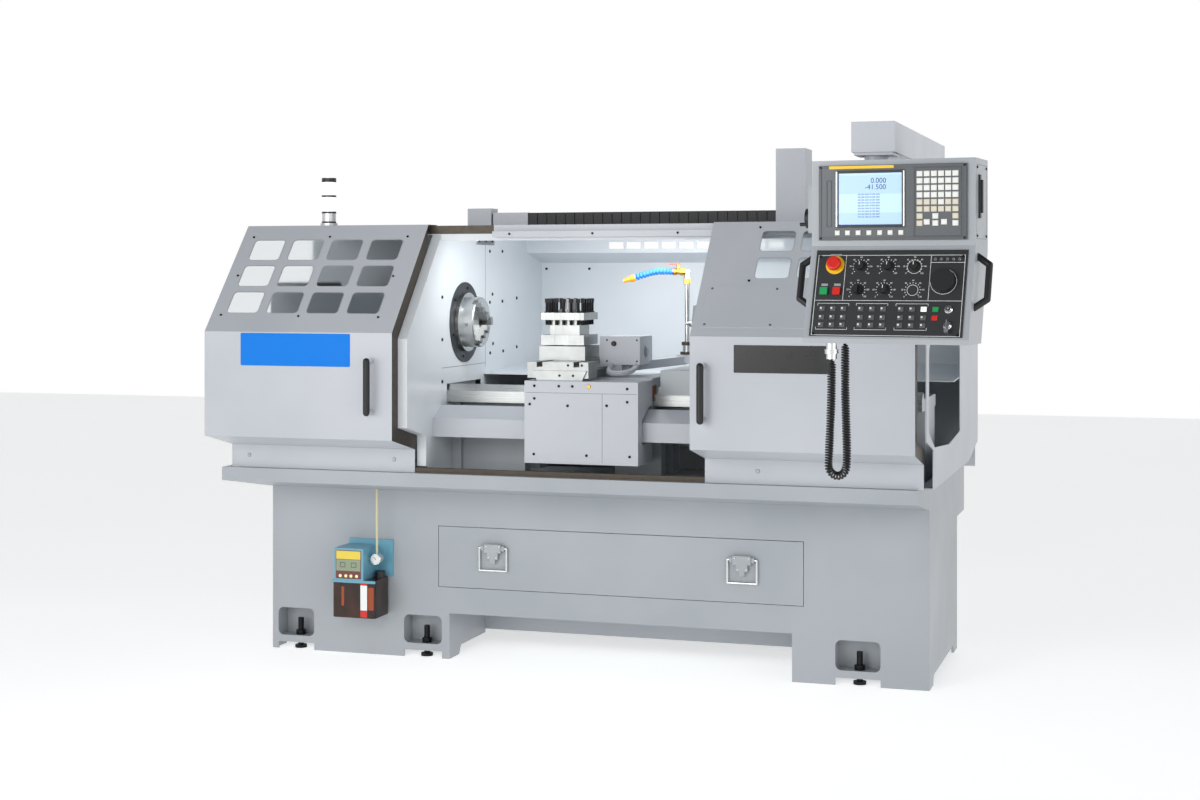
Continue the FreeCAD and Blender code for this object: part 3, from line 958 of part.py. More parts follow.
def lubricator_pump():
    x0 = LUBE_X + 9
    front = -LUBE_PUMP_DEPTH
    body = box(x0, front, LUBE_SPLIT, x0 + LUBE_PUMP_WIDTH, -LUBE_BACKSET, LUBE_TOP)
    plate = box(x0, -LUBE_BACKSET - 1, LUBE_SPLIT, x0 + LUBE_TANK_WIDTH + 6, 0, LUBE_TOP + 18)
    gauge_x = x0 + LUBE_PUMP_WIDTH
    gauge_z = (LUBE_SPLIT + LUBE_TOP) / 2 + 14
    stem = rod(7, (gauge_x - 1, -70, gauge_z), (gauge_x + 26, -70, gauge_z))
    gauge = rod(19, (gauge_x + 26, -82, gauge_z), (gauge_x + 26, -58, gauge_z))
    tube = rod(4, (gauge_x + 26, -70, gauge_z + 15), (gauge_x + 26, -70, BASE_HEIGHT + 11))
    return fuse(body, plate, stem, gauge, tube)


# ===== arm and pendant ====================================================

def arm_post():
    foot = box(ARM_X - 55, ARM_PIVOT_Y - 55, GUARD_TOP, ARM_X + 55, ARM_PIVOT_Y + 55, GUARD_TOP + 12)
    column = rod(POST_RADIUS, (ARM_X, ARM_PIVOT_Y, GUARD_TOP + 11),
                 (ARM_X, ARM_PIVOT_Y, ARM_BOTTOM - SLIDE_GAP))
    pin = rod(PIN_RADIUS, (ARM_X, ARM_PIVOT_Y, GUARD_TOP + 11), (ARM_X, ARM_PIVOT_Y, PIN_TOP))
    return fuse(foot, column, pin)


def pendant_arm():
    half, w = ARM_WIDTH / 2, ARM_WALL
    tube = cut(box(ARM_X - half, ARM_FRONT, ARM_BOTTOM, ARM_X + half, ARM_BACK, ARM_TOP),
               box(ARM_X - half + w, ARM_FRONT + w, ARM_BOTTOM + w,
                   ARM_X + half - w, ARM_BACK - w, ARM_TOP - w))
    boss = rod(BOSS_RADIUS, (ARM_X, ARM_PIVOT_Y, ARM_BOTTOM), (ARM_X, ARM_PIVOT_Y, PIN_TOP + 5))
    bore = rod(PIN_RADIUS + FIT, (ARM_X, ARM_PIVOT_Y, ARM_BOTTOM - REACH), (ARM_X, ARM_PIVOT_Y, PIN_TOP + 1))
    plate = square_z(SWIVEL_PLATE, ARM_X, SWIVEL_Y, ARM_BOTTOM - 8, ARM_BOTTOM + 1)
    roof = PENDANT_TOP - PENDANT_SHEET
    spigot = rod(SWIVEL_RADIUS, (ARM_X, SWIVEL_Y, roof - 8), (ARM_X, SWIVEL_Y, ARM_BOTTOM - 7))
    disc = rod(SWIVEL_DISC, (ARM_X, SWIVEL_Y, roof - 12), (ARM_X, SWIVEL_Y, roof - SLIDE_GAP))
    return fuse(cut(fuse(tube, boss), bore), plate, spigot, disc)


def hung(shape):
    """Turns a piece drawn about the swivel and puts it under the end of the arm."""
    shape.rotate(V(0, 0, 0), Z_DIR, PENDANT_TURN)
    shape.translate(V(ARM_X, SWIVEL_Y, 0))
    return shape


def console_angle():
    return math.degrees(math.atan2(CONSOLE_OUT, PENDANT_FOLD - PENDANT_BOTTOM - 13))


def on_console(shape):
    """Lays a piece drawn upright, with y = 0 on the face and z up from 0, on the leaning console."""
    shape.rotate(V(0, 0, 0), X_DIR, -console_angle())
    shape.translate(V(0, PENDANT_FRONT - CONSOLE_OUT, PENDANT_BOTTOM + 13))
    return shape


def pendant_housing():
    front, back = PENDANT_FRONT, PENDANT_FRONT + PENDANT_DEPTH
    outline = [(front, PENDANT_TOP), (front, PENDANT_FOLD), (front - CONSOLE_OUT, PENDANT_BOTTOM + 13),
               (front - CONSOLE_OUT, PENDANT_BOTTOM), (back - CONSOLE_OUT, PENDANT_BOTTOM),
               (back, PENDANT_FOLD - 15), (back, PENDANT_TOP)]
    closed = outline + [outline[0]]
    t = PENDANT_SHEET
    room = offset_line(closed, -t)[:-1]
    room[0] = (front + t, PENDANT_TOP - t)
    left, right = PENDANT_LEFT, PENDANT_LEFT + PENDANT_WIDTH
    shell = cut(prism_x(outline, left, right), prism_x(room, left + t, right - t))
    middle = left + PENDANT_WIDTH / 2
    top_hole = rod(SWIVEL_RADIUS + FIT, (0, 0, PENDANT_TOP - 2 * t), (0, 0, PENDANT_TOP + t))
    screen_low = PENDANT_FOLD + DISPLAY_RISE
    screen_hole = box(middle - DISPLAY_WIDTH / 2 + 8, front - t, screen_low + 8,
                      middle + DISPLAY_WIDTH / 2 - 8, front + 2 * t, screen_low + DISPLAY_HEIGHT - 8)
    panel_hole = on_console(box(middle - PANEL_WIDTH / 2 + 8, -t, 14, middle + PANEL_WIDTH / 2 - 8, 2 * t,
                                PANEL_HEIGHT - 2))
    shell = cut(shell, top_hole, screen_hole, panel_hole)
    y0, y1, z0, z1 = WHEEL_BOX
    wheel_box = box(left - WHEEL_BOX_STAND, y0, z0, left + t / 2, y1, z1)
    shell = fuse(shell, wheel_box)
    axle = rod(6 + FIT, (left - WHEEL_BOX_STAND - 1, (y0 + y1) / 2, WHEEL_Z),
               (left - 4, (y0 + y1) / 2, WHEEL_Z))
    gland_hole = rod(GLAND_RADIUS - 4, (GLAND_X, GLAND_Y, PENDANT_BOTTOM - 1),
                     (GLAND_X, GLAND_Y, PENDANT_BOTTOM + 6))
    return hung(cut(shell, axle, gland_hole))


def display_unit():
    middle = PENDANT_LEFT + PENDANT_WIDTH / 2
    low = PENDANT_FOLD + DISPLAY_RISE
    face = box(middle - DISPLAY_WIDTH / 2, PENDANT_FRONT - DISPLAY_STAND, low,
               middle + DISPLAY_WIDTH / 2, PENDANT_FRONT, low + DISPLAY_HEIGHT)
    rear = box(middle - DISPLAY_WIDTH / 2 + 12, PENDANT_FRONT - 1, low + 12,
               middle + DISPLAY_WIDTH / 2 - 12, PENDANT_FRONT + 50, low + DISPLAY_HEIGHT - 12)
    screen = box(middle - DISPLAY_WIDTH / 2 + 55, PENDANT_FRONT - DISPLAY_STAND - 1, low + 42,
                 middle - DISPLAY_WIDTH / 2 + 226, PENDANT_FRONT - DISPLAY_STAND + 3, low + 170)
    return hung(cut(fuse(face, rear), screen))


CONTROLS = {"emergency_stop": (-150.0, 204.0), "cycle_start_button": (-174.0, 129.5),
            "feed_hold_button": (-139.0, 129.5), "jog_dial": (145.0, 158.0), "mode_selector": (-83.0, 134.0)}


def operator_panel():
    middle = PENDANT_LEFT + PENDANT_WIDTH / 2
    plate = box(middle - PANEL_WIDTH / 2, -PANEL_STAND, 6, middle + PANEL_WIDTH / 2, 0, 6 + PANEL_HEIGHT)
    rear = box(middle - PANEL_WIDTH / 2 + 12, -1, 18,
               middle + PANEL_WIDTH / 2 - 12, BUTTON_GUIDE, PANEL_HEIGHT - 6)
    plate = fuse(plate, rear)
    for name, (x, z) in CONTROLS.items():
        plate = cut(plate, rod(5 + FIT, (middle + x, -PANEL_STAND - 1, z), (middle + x, BUTTON_GUIDE + 1, z)))
    return hung(on_console(plate))


def control(name, head):
    """A head in front of the operator panel on a stem that runs in the panel."""
    x, z = CONTROLS[name]
    x += PENDANT_LEFT + PENDANT_WIDTH / 2
    stem = rod(5, (x, -PANEL_STAND - 6, z), (x, BUTTON_GUIDE - 2, z))
    return hung(on_console(fuse(head(x, z), stem)))


def round_head(radius, foot, stand):
    def head(x, z):
        return fuse(rod(radius, (x, -PANEL_STAND - stand, z), (x, -PANEL_STAND - foot, z)))
    return head


def mushroom(x, z):
    neck = rod(12, (x, -PANEL_STAND - 12, z), (x, -PANEL_STAND - 5, z))
    cap = rod(19, (x, -PANEL_STAND - 24, z), (x, -PANEL_STAND - 11, z))
    rim = [e for e in cap.Edges if e.Length > 100 and e.BoundBox.YMin < -PANEL_STAND - 23]
    return fuse(neck, cap.makeFillet(5, rim))


def square_head(x, z):
    half = BUTTON_SIZE / 2
    return box(x - half, -PANEL_STAND - BUTTON_STAND, z - half, x + half, -PANEL_STAND - 3, z + half)


def pointer_head(x, z):
    skirt = rod(13, (x, -PANEL_STAND - 8, z), (x, -PANEL_STAND - SLIDE_GAP, z))
    grip = box(x - 4, -PANEL_STAND - 20, z - 12, x + 4, -PANEL_STAND - 7, z + 12)
    return fuse(skirt, grip)


def handwheel():
    y0, y1, _, _ = WHEEL_BOX
    y, x = (y0 + y1) / 2, PENDANT_LEFT - WHEEL_BOX_STAND
    disc = rod(WHEEL_RADIUS, (x - SLIDE_GAP - WHEEL_THICK, y, WHEEL_Z), (x - SLIDE_GAP, y, WHEEL_Z))
    axle = rod(6, (x - 2, y, WHEEL_Z), (x + 18, y, WHEEL_Z))
    knob = rod(5, (x - WHEEL_THICK - 20, y, WHEEL_Z - 16), (x - WHEEL_THICK, y, WHEEL_Z - 16))
    return hung(fuse(disc, axle, knob))


def pendant_grip(x, side):
    """A bent bar handle on one side of the pendant."""
    low, high = GRIP_MIDDLE - GRIP_LENGTH / 2, GRIP_MIDDLE + GRIP_LENGTH / 2
    lean = math.tan(math.radians(console_angle()))

    def at(z, out):
        return (x + side * out, PENDANT_FRONT + 40 - (PENDANT_FOLD - z) * lean, z)
    corners = [at(low, 0), at(low + 22, GRIP_STAND), at(high - 22, GRIP_STAND), at(high, 0)]
    bars = [rod(GRIP_RADIUS, a, b) for a, b in zip(corners, corners[1:])]
    knees = [Part.makeSphere(GRIP_RADIUS, V(*p)) for p in corners]
    inside = box(min(x, x - side * 40), -300, 1000, max(x, x - side * 40), 200, 1700)
    return hung(cut(fuse(*bars, *knees), inside))


def pendant_handles():
    return [pendant_grip(PENDANT_LEFT, -1), pendant_grip(PENDANT_LEFT + PENDANT_WIDTH, 1)]


def cord_gland():
    top, low = PENDANT_BOTTOM, PENDANT_BOTTOM - GLAND_LENGTH
    body = rod(GLAND_RADIUS, (GLAND_X, GLAND_Y, low), (GLAND_X, GLAND_Y, top))
    collar = rod(GLAND_RADIUS + 4, (GLAND_X, GLAND_Y, low + 14), (GLAND_X, GLAND_Y, low + 26))
    return hung(fuse(body, collar))


def curly_cord():
    return hung(tube_along(CORD_ROUTE, CORD_RADIUS, "curly cord"))


# ===== the machine ========================================================

PIECES = {
    "base_cabinet": base_cabinet, "levelling_bolts": levelling_bolts, "chip_pan": chip_pan,
    "door_rails": door_rails, "header_beam": header_beam, "bed": bed,
    "bed_front_cover": bed_front_cover, "headstock": headstock, "belt_cover": belt_cover,
    "headstock_guard": headstock_guard, "rear_guard": rear_guard,
    "right_end_panel": right_end_panel, "electrical_cabinet": electrical_cabinet,
    "spindle_motor": spindle_motor, "drive_belt": drive_belt, "stack_light": stack_light,
    "cable_chain": cable_chain, "service_tower": service_tower, "arm_post": arm_post,
    "lubricator_pump": lubricator_pump, "lubricator_tank": lubricator_tank,
    "spindle": spindle, "chuck_body": chuck_body,
    "jaw_1": lambda: jaw(0), "jaw_2": lambda: jaw(1), "jaw_3": lambda: jaw(2),
    "motor_pulley": motor_pulley, "ball_screw": ball_screw,
    "saddle": saddle, "apron": apron, "cross_slide": cross_slide, "turret_drive": turret_drive,
    "turret_head": turret_head, "turret_screws": turret_screws, "coolant_pipe": coolant_pipe,
    "tailstock": tailstock, "tailstock_quill": tailstock_quill,
    "tailstock_handwheel": tailstock_handwheel,
    "left_door": lambda: door(LEFT_DOOR, LEFT_DOOR_WIDTH, LEFT_PANES),
    "right_door": lambda: door(RIGHT_DOOR, RIGHT_DOOR_WIDTH, RIGHT_PANES),
    "left_window": lambda: window(*LEFT_PANES), "right_window": lambda: window(*RIGHT_PANES),
    "left_handle": lambda: door_handle(LEFT_HANDLE_X), "right_handle": lambda: door_handle(RIGHT_HANDLE_X),
    "drawer": drawer, "left_bail": lambda: bail(drawer_pivots()[0]),
    "right_bail": lambda: bail(drawer_pivots()[1]),
    "pendant_arm": pendant_arm, "pendant_housing": pendant_housing,
    "display_unit": display_unit, "operator_panel": operator_panel,
    "emergency_stop": lambda: control("emergency_stop", mushroom),
    "cycle_start_button": lambda: control("cycle_start_button", square_head),
    "feed_hold_button": lambda: control("feed_hold_button", square_head),
    "jog_dial": lambda: control("jog_dial", round_head(31, SLIDE_GAP, 18)),
    "mode_selector": lambda: control("mode_selector", pointer_head),
    "handwheel": handwheel, "pendant_handles": pendant_handles,
    "cord_gland": cord_gland, "curly_cord": curly_cord,
}
CORD_PIECES = ("cord_gland", "curly_cord")


def main():
    os.makedirs("parts", exist_ok=True)
    shapes = {}
    for name, make in PIECES.items():
        made = make()
        shapes[name] = Part.makeCompound(made) if isinstance(made, list) else made
    room = FreeCAD.BoundBox()
    for name, shape in shapes.items():
        if name not in CORD_PIECES:
            room.add(shape.BoundBox)
    origin = V(room.Center.x, room.Center.y, 0)
    print("origin in the drawing frame", tuple(round(c, 3) for c in origin),
          "size", [round(s, 1) for s in (room.XLength, room.YLength, room.ZLength)],
          "low", round(room.ZMin, 3))
    for name, shape in shapes.items():
        shape.translate(-origin)
        if not shape.isValid():
            print("not valid:", name)
        shape.exportStep("parts/" + name + ".step")
        print(name, "solids", len(shape.Solids), "volume", round(shape.Volume / 1000), "cm3")


main()
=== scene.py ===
# %% [markdown]
# # Dressing a CNC turning lathe
# The machine's construction is a fixed frame of 60 solid pieces that already sit where they belong.
# This notebook adds what the eye judges: paint, ground steel, windows, screws, screens, keys, hoses
# and one curly lead. Blender could move or rebuild the solids, but then sizes would drift apart, so
# every new piece is placed from the frame's own measurements and rides on one of its moving bodies.

# %% Load the fixed frame
import math
import bmesh
import bpy
from mathutils import Matrix, Vector


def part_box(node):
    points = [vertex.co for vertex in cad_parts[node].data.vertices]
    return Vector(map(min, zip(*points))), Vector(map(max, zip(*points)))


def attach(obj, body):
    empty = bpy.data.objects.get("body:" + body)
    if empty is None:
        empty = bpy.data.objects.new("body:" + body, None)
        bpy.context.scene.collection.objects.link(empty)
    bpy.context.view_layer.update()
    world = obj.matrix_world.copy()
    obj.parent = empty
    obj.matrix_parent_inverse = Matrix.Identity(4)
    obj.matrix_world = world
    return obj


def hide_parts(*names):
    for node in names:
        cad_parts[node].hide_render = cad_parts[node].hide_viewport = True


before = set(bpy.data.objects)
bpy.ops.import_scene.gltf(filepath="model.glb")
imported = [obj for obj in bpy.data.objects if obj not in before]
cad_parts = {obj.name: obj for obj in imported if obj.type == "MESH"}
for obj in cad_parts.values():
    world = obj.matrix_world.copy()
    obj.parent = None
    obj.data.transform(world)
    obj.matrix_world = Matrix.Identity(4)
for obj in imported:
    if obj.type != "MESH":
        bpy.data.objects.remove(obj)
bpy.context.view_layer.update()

# %% [markdown]
# Machine drawings count in millimetres from one corner. The base cabinet's lowest front left corner
# is such a corner, so one matrix turns drawing millimetres into metres in the frame. A second lies on
# the slope of the doors. Two more belong to the control pendant, which hangs turned a little towards
# the operator: one for its upright front and one for its leaning console. A piece drawn flat then
# lands on its surface.

# %% Four drawing boards: machine, door slope, pendant and console
MM = 0.001
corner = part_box("base_cabinet")[0]
MACHINE = Matrix.Translation(corner) @ Matrix.Scale(MM, 4)

DOOR_FOLD, DOOR_SLOPE_TOP = Vector((-434.0, 1130.0)), Vector((-131.0, 1486.3))
slope_way = DOOR_SLOPE_TOP - DOOR_FOLD
QUARTER_TURN = math.radians(90)
slope_tilt = math.atan2(slope_way.y, slope_way.x) - QUARTER_TURN
SLOPE = MACHINE @ Matrix.Translation((0, DOOR_FOLD.x, DOOR_FOLD.y)) @ Matrix.Rotation(slope_tilt, 4, "X")

SWIVEL = (2287.0, -915.0, 0.0)
PENDANT_TURN = math.radians(-5.6)
PENDANT_MIDDLE, PENDANT_HALF, PENDANT_FACE = 64.0, 221.0, -79.0
CONSOLE_OUT, CONSOLE_FOOT, PENDANT_FOLD = 85.0, 1150.0, 1395.0
console_lean = math.atan2(CONSOLE_OUT, PENDANT_FOLD - CONSOLE_FOOT)
PENDANT = MACHINE @ Matrix.Translation(SWIVEL) @ Matrix.Rotation(PENDANT_TURN, 4, "Z")
CONSOLE = (PENDANT @ Matrix.Translation((PENDANT_MIDDLE, PENDANT_FACE - CONSOLE_OUT, CONSOLE_FOOT))
           @ Matrix.Rotation(-console_lean, 4, "X"))
print("the door slopes", round(math.degrees(slope_tilt + QUARTER_TURN), 1), "degrees, the console leans",
      round(math.degrees(console_lean), 1))

# %% [markdown]
# ## Camera, floor and light
# The camera comes first, because every look is judged through it. It stands at about chest height,
# to the right of the machine, and looks level. A level camera keeps upright edges upright, and the
# lens is shifted down, as a view camera's is, to bring the feet into the picture.

# %% Set up the camera
camera_data = bpy.data.cameras.new("studio_camera")
camera_data.lens = 56.19
camera_data.sensor_width = 36.0
camera_data.shift_y = -0.105
camera_data.clip_end = 60.0
camera = bpy.data.objects.new("studio_camera", camera_data)
camera.location = MACHINE @ Vector((3105.1, -5963.2, 1320.0))
camera.rotation_euler = (QUARTER_TURN, 0.0, math.radians(17.6))
bpy.context.scene.collection.objects.link(camera)
bpy.context.scene.camera = camera
print("camera at", [round(value, 3) for value in camera.location])

# %% [markdown]
# ## Materials
# Paint shops and catalogues give colours as hex values, which are sRGB, while Blender's shaders
# count in linear light. One function turns the first into the second. A second small function adds
# a shader node with its settings and links, so that each material below reads as a short recipe.

# %% Colour and node helpers
def linear(hex_colour):
    channels = [int(hex_colour[i:i + 2], 16) / 255 for i in (1, 3, 5)]
    return [c / 12.92 if c <= 0.04045 else ((c + 0.055) / 1.055) ** 2.4 for c in channels] + [1.0]


def add(tree, kind, settings=None, inputs=None):
    """One node: settings are its properties, inputs its socket values or the sockets that feed it."""
    made = tree.nodes.new(kind)
    for key, value in (settings or {}).items():
        setattr(made, key, value)
    for key, value in (inputs or {}).items():
        socket = made.inputs[key]
        if isinstance(value, bpy.types.NodeSocket):
            tree.links.new(value, socket)
        else:
            socket.default_value = value
    return made


def start_material(name, colour, roughness, metallic=0.0, **constants):
    """A material with its shader, its Object coordinates and the constants on the shader itself."""
    material = bpy.data.materials.new(name)
    material.use_nodes = True
    tree = material.node_tree
    tree.nodes.clear()
    values = {"Base Color": linear(colour), "Roughness": roughness, "Metallic": metallic}
    values.update({key.replace("_", " "): value for key, value in constants.items()})
    shader = add(tree, "ShaderNodeBsdfPrincipled", inputs=values)
    add(tree, "ShaderNodeOutputMaterial", inputs={"Surface": shader.outputs["BSDF"]})
    place = add(tree, "ShaderNodeTexCoord").outputs["Object"]
    return material, tree, shader, place


def per_metre(size_mm):
    """Texture scale for a pattern that repeats every size_mm millimetres."""
    return 1000.0 / size_mm


WAVE_RADIANS = 20  # what a wave texture of scale 1 runs through in one metre


def feed_bump(tree, shader, height, depth_mm, strength=1.0):
    bump = add(tree, "ShaderNodeBump", inputs={"Height": height, "Distance": depth_mm * MM,
                                               "Strength": strength})
    tree.links.new(bump.outputs["Normal"], shader.inputs["Normal"])


def feed_range(tree, shader, socket, factor, low, high):
    spread = add(tree, "ShaderNodeMapRange", inputs={"Value": factor, "From Min": 0.3, "From Max": 0.7,
                                                     "To Min": low, "To Max": high})
    tree.links.new(spread.outputs["Result"], shader.inputs[socket])


def feed_colours(tree, shader, factor, colours, places=(0.35, 0.65)):
    ramp = add(tree, "ShaderNodeValToRGB", inputs={"Fac": factor})
    for element, colour, place in zip(ramp.color_ramp.elements, colours, places):
        element.color = linear(colour)
        element.position = place
    tree.links.new(ramp.outputs["Color"], shader.inputs["Base Color"])

print("light grey enamel in linear light:", [round(c, 3) for c in linear("#BBBFC5")[:3]])

# %% [markdown]
# Machine enamel is sprayed on sheet steel and baked. It lies in a faint orange peel whose bumps are
# about 2 mm apart, with a soft sheen, and large panels never have quite one shade. The same recipe
# serves six paints, so it is one function: a broad, slow noise shifts the colour and roughness a
# little, and a fine one makes the peel. An image texture could do it too, but would blur up close.

# %% Sprayed enamels
def sprayed_enamel(name, colour, cloud_colour, roughness, peel_mm=2.2, peel_depth=0.035):
    material, tree, shader, place = start_material(name, colour, roughness, Coat_Weight=0.12,
                                                   Coat_Roughness=0.25)
    clouds = add(tree, "ShaderNodeTexNoise", inputs={"Vector": place, "Scale": per_metre(420),
                                                     "Detail": 3.0})
    peel = add(tree, "ShaderNodeTexNoise", inputs={"Vector": place, "Scale": per_metre(peel_mm),
                                                   "Detail": 1.0})
    feed_colours(tree, shader, clouds.outputs["Fac"], (cloud_colour, colour))
    feed_range(tree, shader, "Roughness", clouds.outputs["Fac"], roughness + 0.05, roughness - 0.03)
    feed_bump(tree, shader, peel.outputs["Fac"], peel_depth)
    return material


light_enamel = sprayed_enamel("light_grey_enamel", "#BBBFC5", "#B4B8BF", 0.36)
grey_enamel = sprayed_enamel("grey_enamel", "#A6ABB0", "#9EA4A9", 0.40)
slate_enamel = sprayed_enamel("slate_enamel", "#5C6165", "#55595D", 0.42)
charcoal_enamel = sprayed_enamel("charcoal_enamel", "#26282B", "#222427", 0.45)
casting_enamel = sprayed_enamel("casting_enamel", "#B4BABE", "#A9AFB4", 0.44, peel_mm=5.0,
                                peel_depth=0.12)
interior_enamel = sprayed_enamel("interior_enamel", "#D6DBDF", "#CFD5DA", 0.34)
print("enamels:", light_enamel.name, grey_enamel.name, casting_enamel.name)

# %% [markdown]
# Slides and the tool turret are ground: a stone leaves fine parallel lines, so the steel is bright
# along them and dull across. Stretching a noise along one axis with a Mapping node gives such
# lines. Turned parts carry rings instead, which a wave texture in rings draws about the spindle.

# %% Ground and turned steel
def ground_steel(name, colour, roughness, lines=(3.0, 900.0, 900.0), lighter="#B9BBBA"):
    """Lines run along the axis with the small scale."""
    material, tree, shader, place = start_material(name, colour, roughness, 1.0)
    stretch = add(tree, "ShaderNodeMapping", inputs={"Vector": place, "Scale": lines})
    grinding = add(tree, "ShaderNodeTexNoise", inputs={"Vector": stretch.outputs["Vector"], "Scale": 1.0,
                                                       "Detail": 2.0})
    stain = add(tree, "ShaderNodeTexNoise", inputs={"Vector": place, "Scale": per_metre(90),
                                                    "Detail": 4.0})
    feed_range(tree, shader, "Roughness", grinding.outputs["Fac"], roughness - 0.07, roughness + 0.1)
    feed_colours(tree, shader, stain.outputs["Fac"], (colour, lighter), (0.2, 0.9))
    feed_bump(tree, shader, grinding.outputs["Fac"], 0.02)
    return material


def turned_steel(name, colour, roughness, centre, axis="X", ring_mm=1.6):
    """Rings lie about a line along the axis through centre; a wave is 2 pi times ring_mm long."""
    material, tree, shader, place = start_material(name, colour, roughness, 1.0)
    centred = add(tree, "ShaderNodeMapping", inputs={"Vector": place, "Location": [-c for c in centre]})
    rings = add(tree, "ShaderNodeTexWave", {"wave_type": "RINGS", "rings_direction": axis},
                {"Vector": centred.outputs["Vector"], "Scale": per_metre(ring_mm) / WAVE_RADIANS,
                 "Distortion": 0.6, "Detail": 2.0})
    feed_range(tree, shader, "Roughness", rings.outputs["Fac"], roughness - 0.05, roughness + 0.08)
    feed_bump(tree, shader, rings.outputs["Fac"], 0.015)
    return material


SPINDLE_Y, SPINDLE_Z = 114.0, 1153.0
spindle_line = MACHINE @ Vector((0.0, SPINDLE_Y, SPINDLE_Z))
motor_line = MACHINE @ Vector((0.0, 560.0, 780.0))
ground_way = ground_steel("ground_way_steel", "#A9ABAA", 0.30)
ground_slide = ground_steel("ground_slide_steel", "#8D908F", 0.36, (900.0, 3.0, 900.0))
ground_block = ground_steel("ground_block_steel", "#969897", 0.34, (900.0, 900.0, 4.0))
turned_spindle = turned_steel("turned_spindle_steel", "#C8CACA", 0.25, spindle_line)
turned_pulley = turned_steel("turned_pulley_steel", "#A8ABAC", 0.32, motor_line)
bright_tube = ground_steel("bright_tube_steel", "#D6D8D8", 0.2, (700.0, 700.0, 3.0))
print("steels turn about", [round(value, 3) for value in spindle_line])

# %% [markdown]
# Screws are blacked in hot oxide: an almost black steel with a dull, slightly uneven sheen. Chrome is
# mirror-like, and brass is warm. They are small, so a little uneven roughness is all the eye gets.

# %% Small metal parts
def uneven_metal(name, colour, roughness, patch_mm=12, spread=0.07, metallic=1.0):
    material, tree, shader, place = start_material(name, colour, roughness, metallic)
    patches = add(tree, "ShaderNodeTexNoise", inputs={"Vector": place, "Scale": per_metre(patch_mm),
                                                      "Detail": 3.0})
    feed_range(tree, shader, "Roughness", patches.outputs["Fac"], roughness - spread, roughness + spread)
    feed_bump(tree, shader, patches.outputs["Fac"], 0.02)
    return material


black_oxide = uneven_metal("black_oxide_steel", "#1D1E20", 0.42, metallic=0.7)
bronze_anodising = uneven_metal("bronze_anodised_aluminium", "#4D463E", 0.45, metallic=0.6)
chrome_plate = uneven_metal("chrome_plated_steel", "#DADCDD", 0.12, 30, 0.04)
brass = uneven_metal("drawn_brass", "#C79A45", 0.28)
zinc_plate = uneven_metal("zinc_plated_steel", "#9DA1A4", 0.38, 8)
anodised_aluminium = uneven_metal("anodised_aluminium", "#C9CCCE", 0.36, 6, 0.04)
dark_ring_steel = uneven_metal("blued_ring_steel", "#4A4D50", 0.4, 40, 0.06, 0.85)
print("small metals:", black_oxide.name, brass.name, zinc_plate.name)

# %% [markdown]
# Plastics differ by their mould: knobs come out of a spark-eroded mould with a fine matt grain about
# half a millimetre across, while caps and tanks are glossy. The grain is a bump made by noise.

# %% Plastics and rubber
def moulded_plastic(name, colour, roughness, grain_mm=0.8, grain_depth=0.03, **constants):
    material, tree, shader, place = start_material(name, colour, roughness, **constants)
    grain = add(tree, "ShaderNodeTexNoise", inputs={"Vector": place, "Scale": per_metre(grain_mm),
                                                    "Detail": 2.0})
    feed_range(tree, shader, "Roughness", grain.outputs["Fac"], roughness - 0.05, roughness + 0.05)
    feed_bump(tree, shader, grain.outputs["Fac"], grain_depth)
    return material


black_nylon = moulded_plastic("black_glass_filled_nylon", "#151617", 0.46)
black_abs = moulded_plastic("black_moulded_abs", "#1B1C1E", 0.4)
chain_nylon = moulded_plastic("cable_chain_nylon", "#202123", 0.5, 2.0)
lead_rubber = moulded_plastic("black_polyurethane_lead", "#131314", 0.33, 1.5)
belt_rubber = moulded_plastic("black_ribbed_rubber", "#18181A", 0.62, 2.5, 0.2)
red_plastic = moulded_plastic("red_moulded_plastic", "#D3261B", 0.3)
green_plastic = moulded_plastic("green_moulded_plastic", "#1E9E57", 0.32)
yellow_plastic = moulded_plastic("yellow_moulded_plastic", "#F2C21B", 0.38)
white_plastic = moulded_plastic("white_key_plastic", "#E9EAE6", 0.4)
beige_plastic = moulded_plastic("beige_key_plastic", "#D9D3C1", 0.42)
orange_plastic = moulded_plastic("orange_nozzle_acetal", "#F28A1A", 0.3)
blue_plastic = moulded_plastic("blue_hose_acetal", "#1E6FD0", 0.3)
pump_plastic = moulded_plastic("pale_blue_pump_casing", "#6AA3B8", 0.34, 3.0)
nylon_tube = moulded_plastic("natural_nylon_tube", "#CFC79F", 0.35, 3.0)
plain_blue = moulded_plastic("plain_blue_plate", "#0079DC", 0.5, 40.0, 0.003, Specular_IOR_Level=0.2)
plain_black = moulded_plastic("plain_black_plate", "#101011", 0.3, 40.0, 0.003)
label_white = moulded_plastic("plain_white_label", "#EDEEEC", 0.45, 4.0, 0.01)
wiper_rubber = moulded_plastic("brown_wiper_rubber", "#7A4A2C", 0.55, 3.0)
print("plastics:", sum("plastic" in m.name or "abs" in m.name for m in bpy.data.materials))

# %% [markdown]
# The windows are clear polycarbonate, 4 mm thick, which scratches softly where coolant is wiped off.
# The oil tank is a dark amber plastic that lets a little light through. Both use transmission, and
# an index of refraction near 1.58 for polycarbonate, which bends light a little more than glass.

# %% Clear sheet, amber tank and lamp glass
clear_sheet, tree, shader, place = start_material("clear_polycarbonate", "#F1F5F7", 0.05,
                                                  Transmission_Weight=1.0, IOR=1.58)
wiping = add(tree, "ShaderNodeMapping", inputs={"Vector": place, "Scale": (4.0, 90.0, 90.0)})
haze = add(tree, "ShaderNodeTexNoise", inputs={"Vector": wiping.outputs["Vector"], "Scale": 2.0,
                                               "Detail": 4.0})
feed_range(tree, shader, "Roughness", haze.outputs["Fac"], 0.03, 0.1)

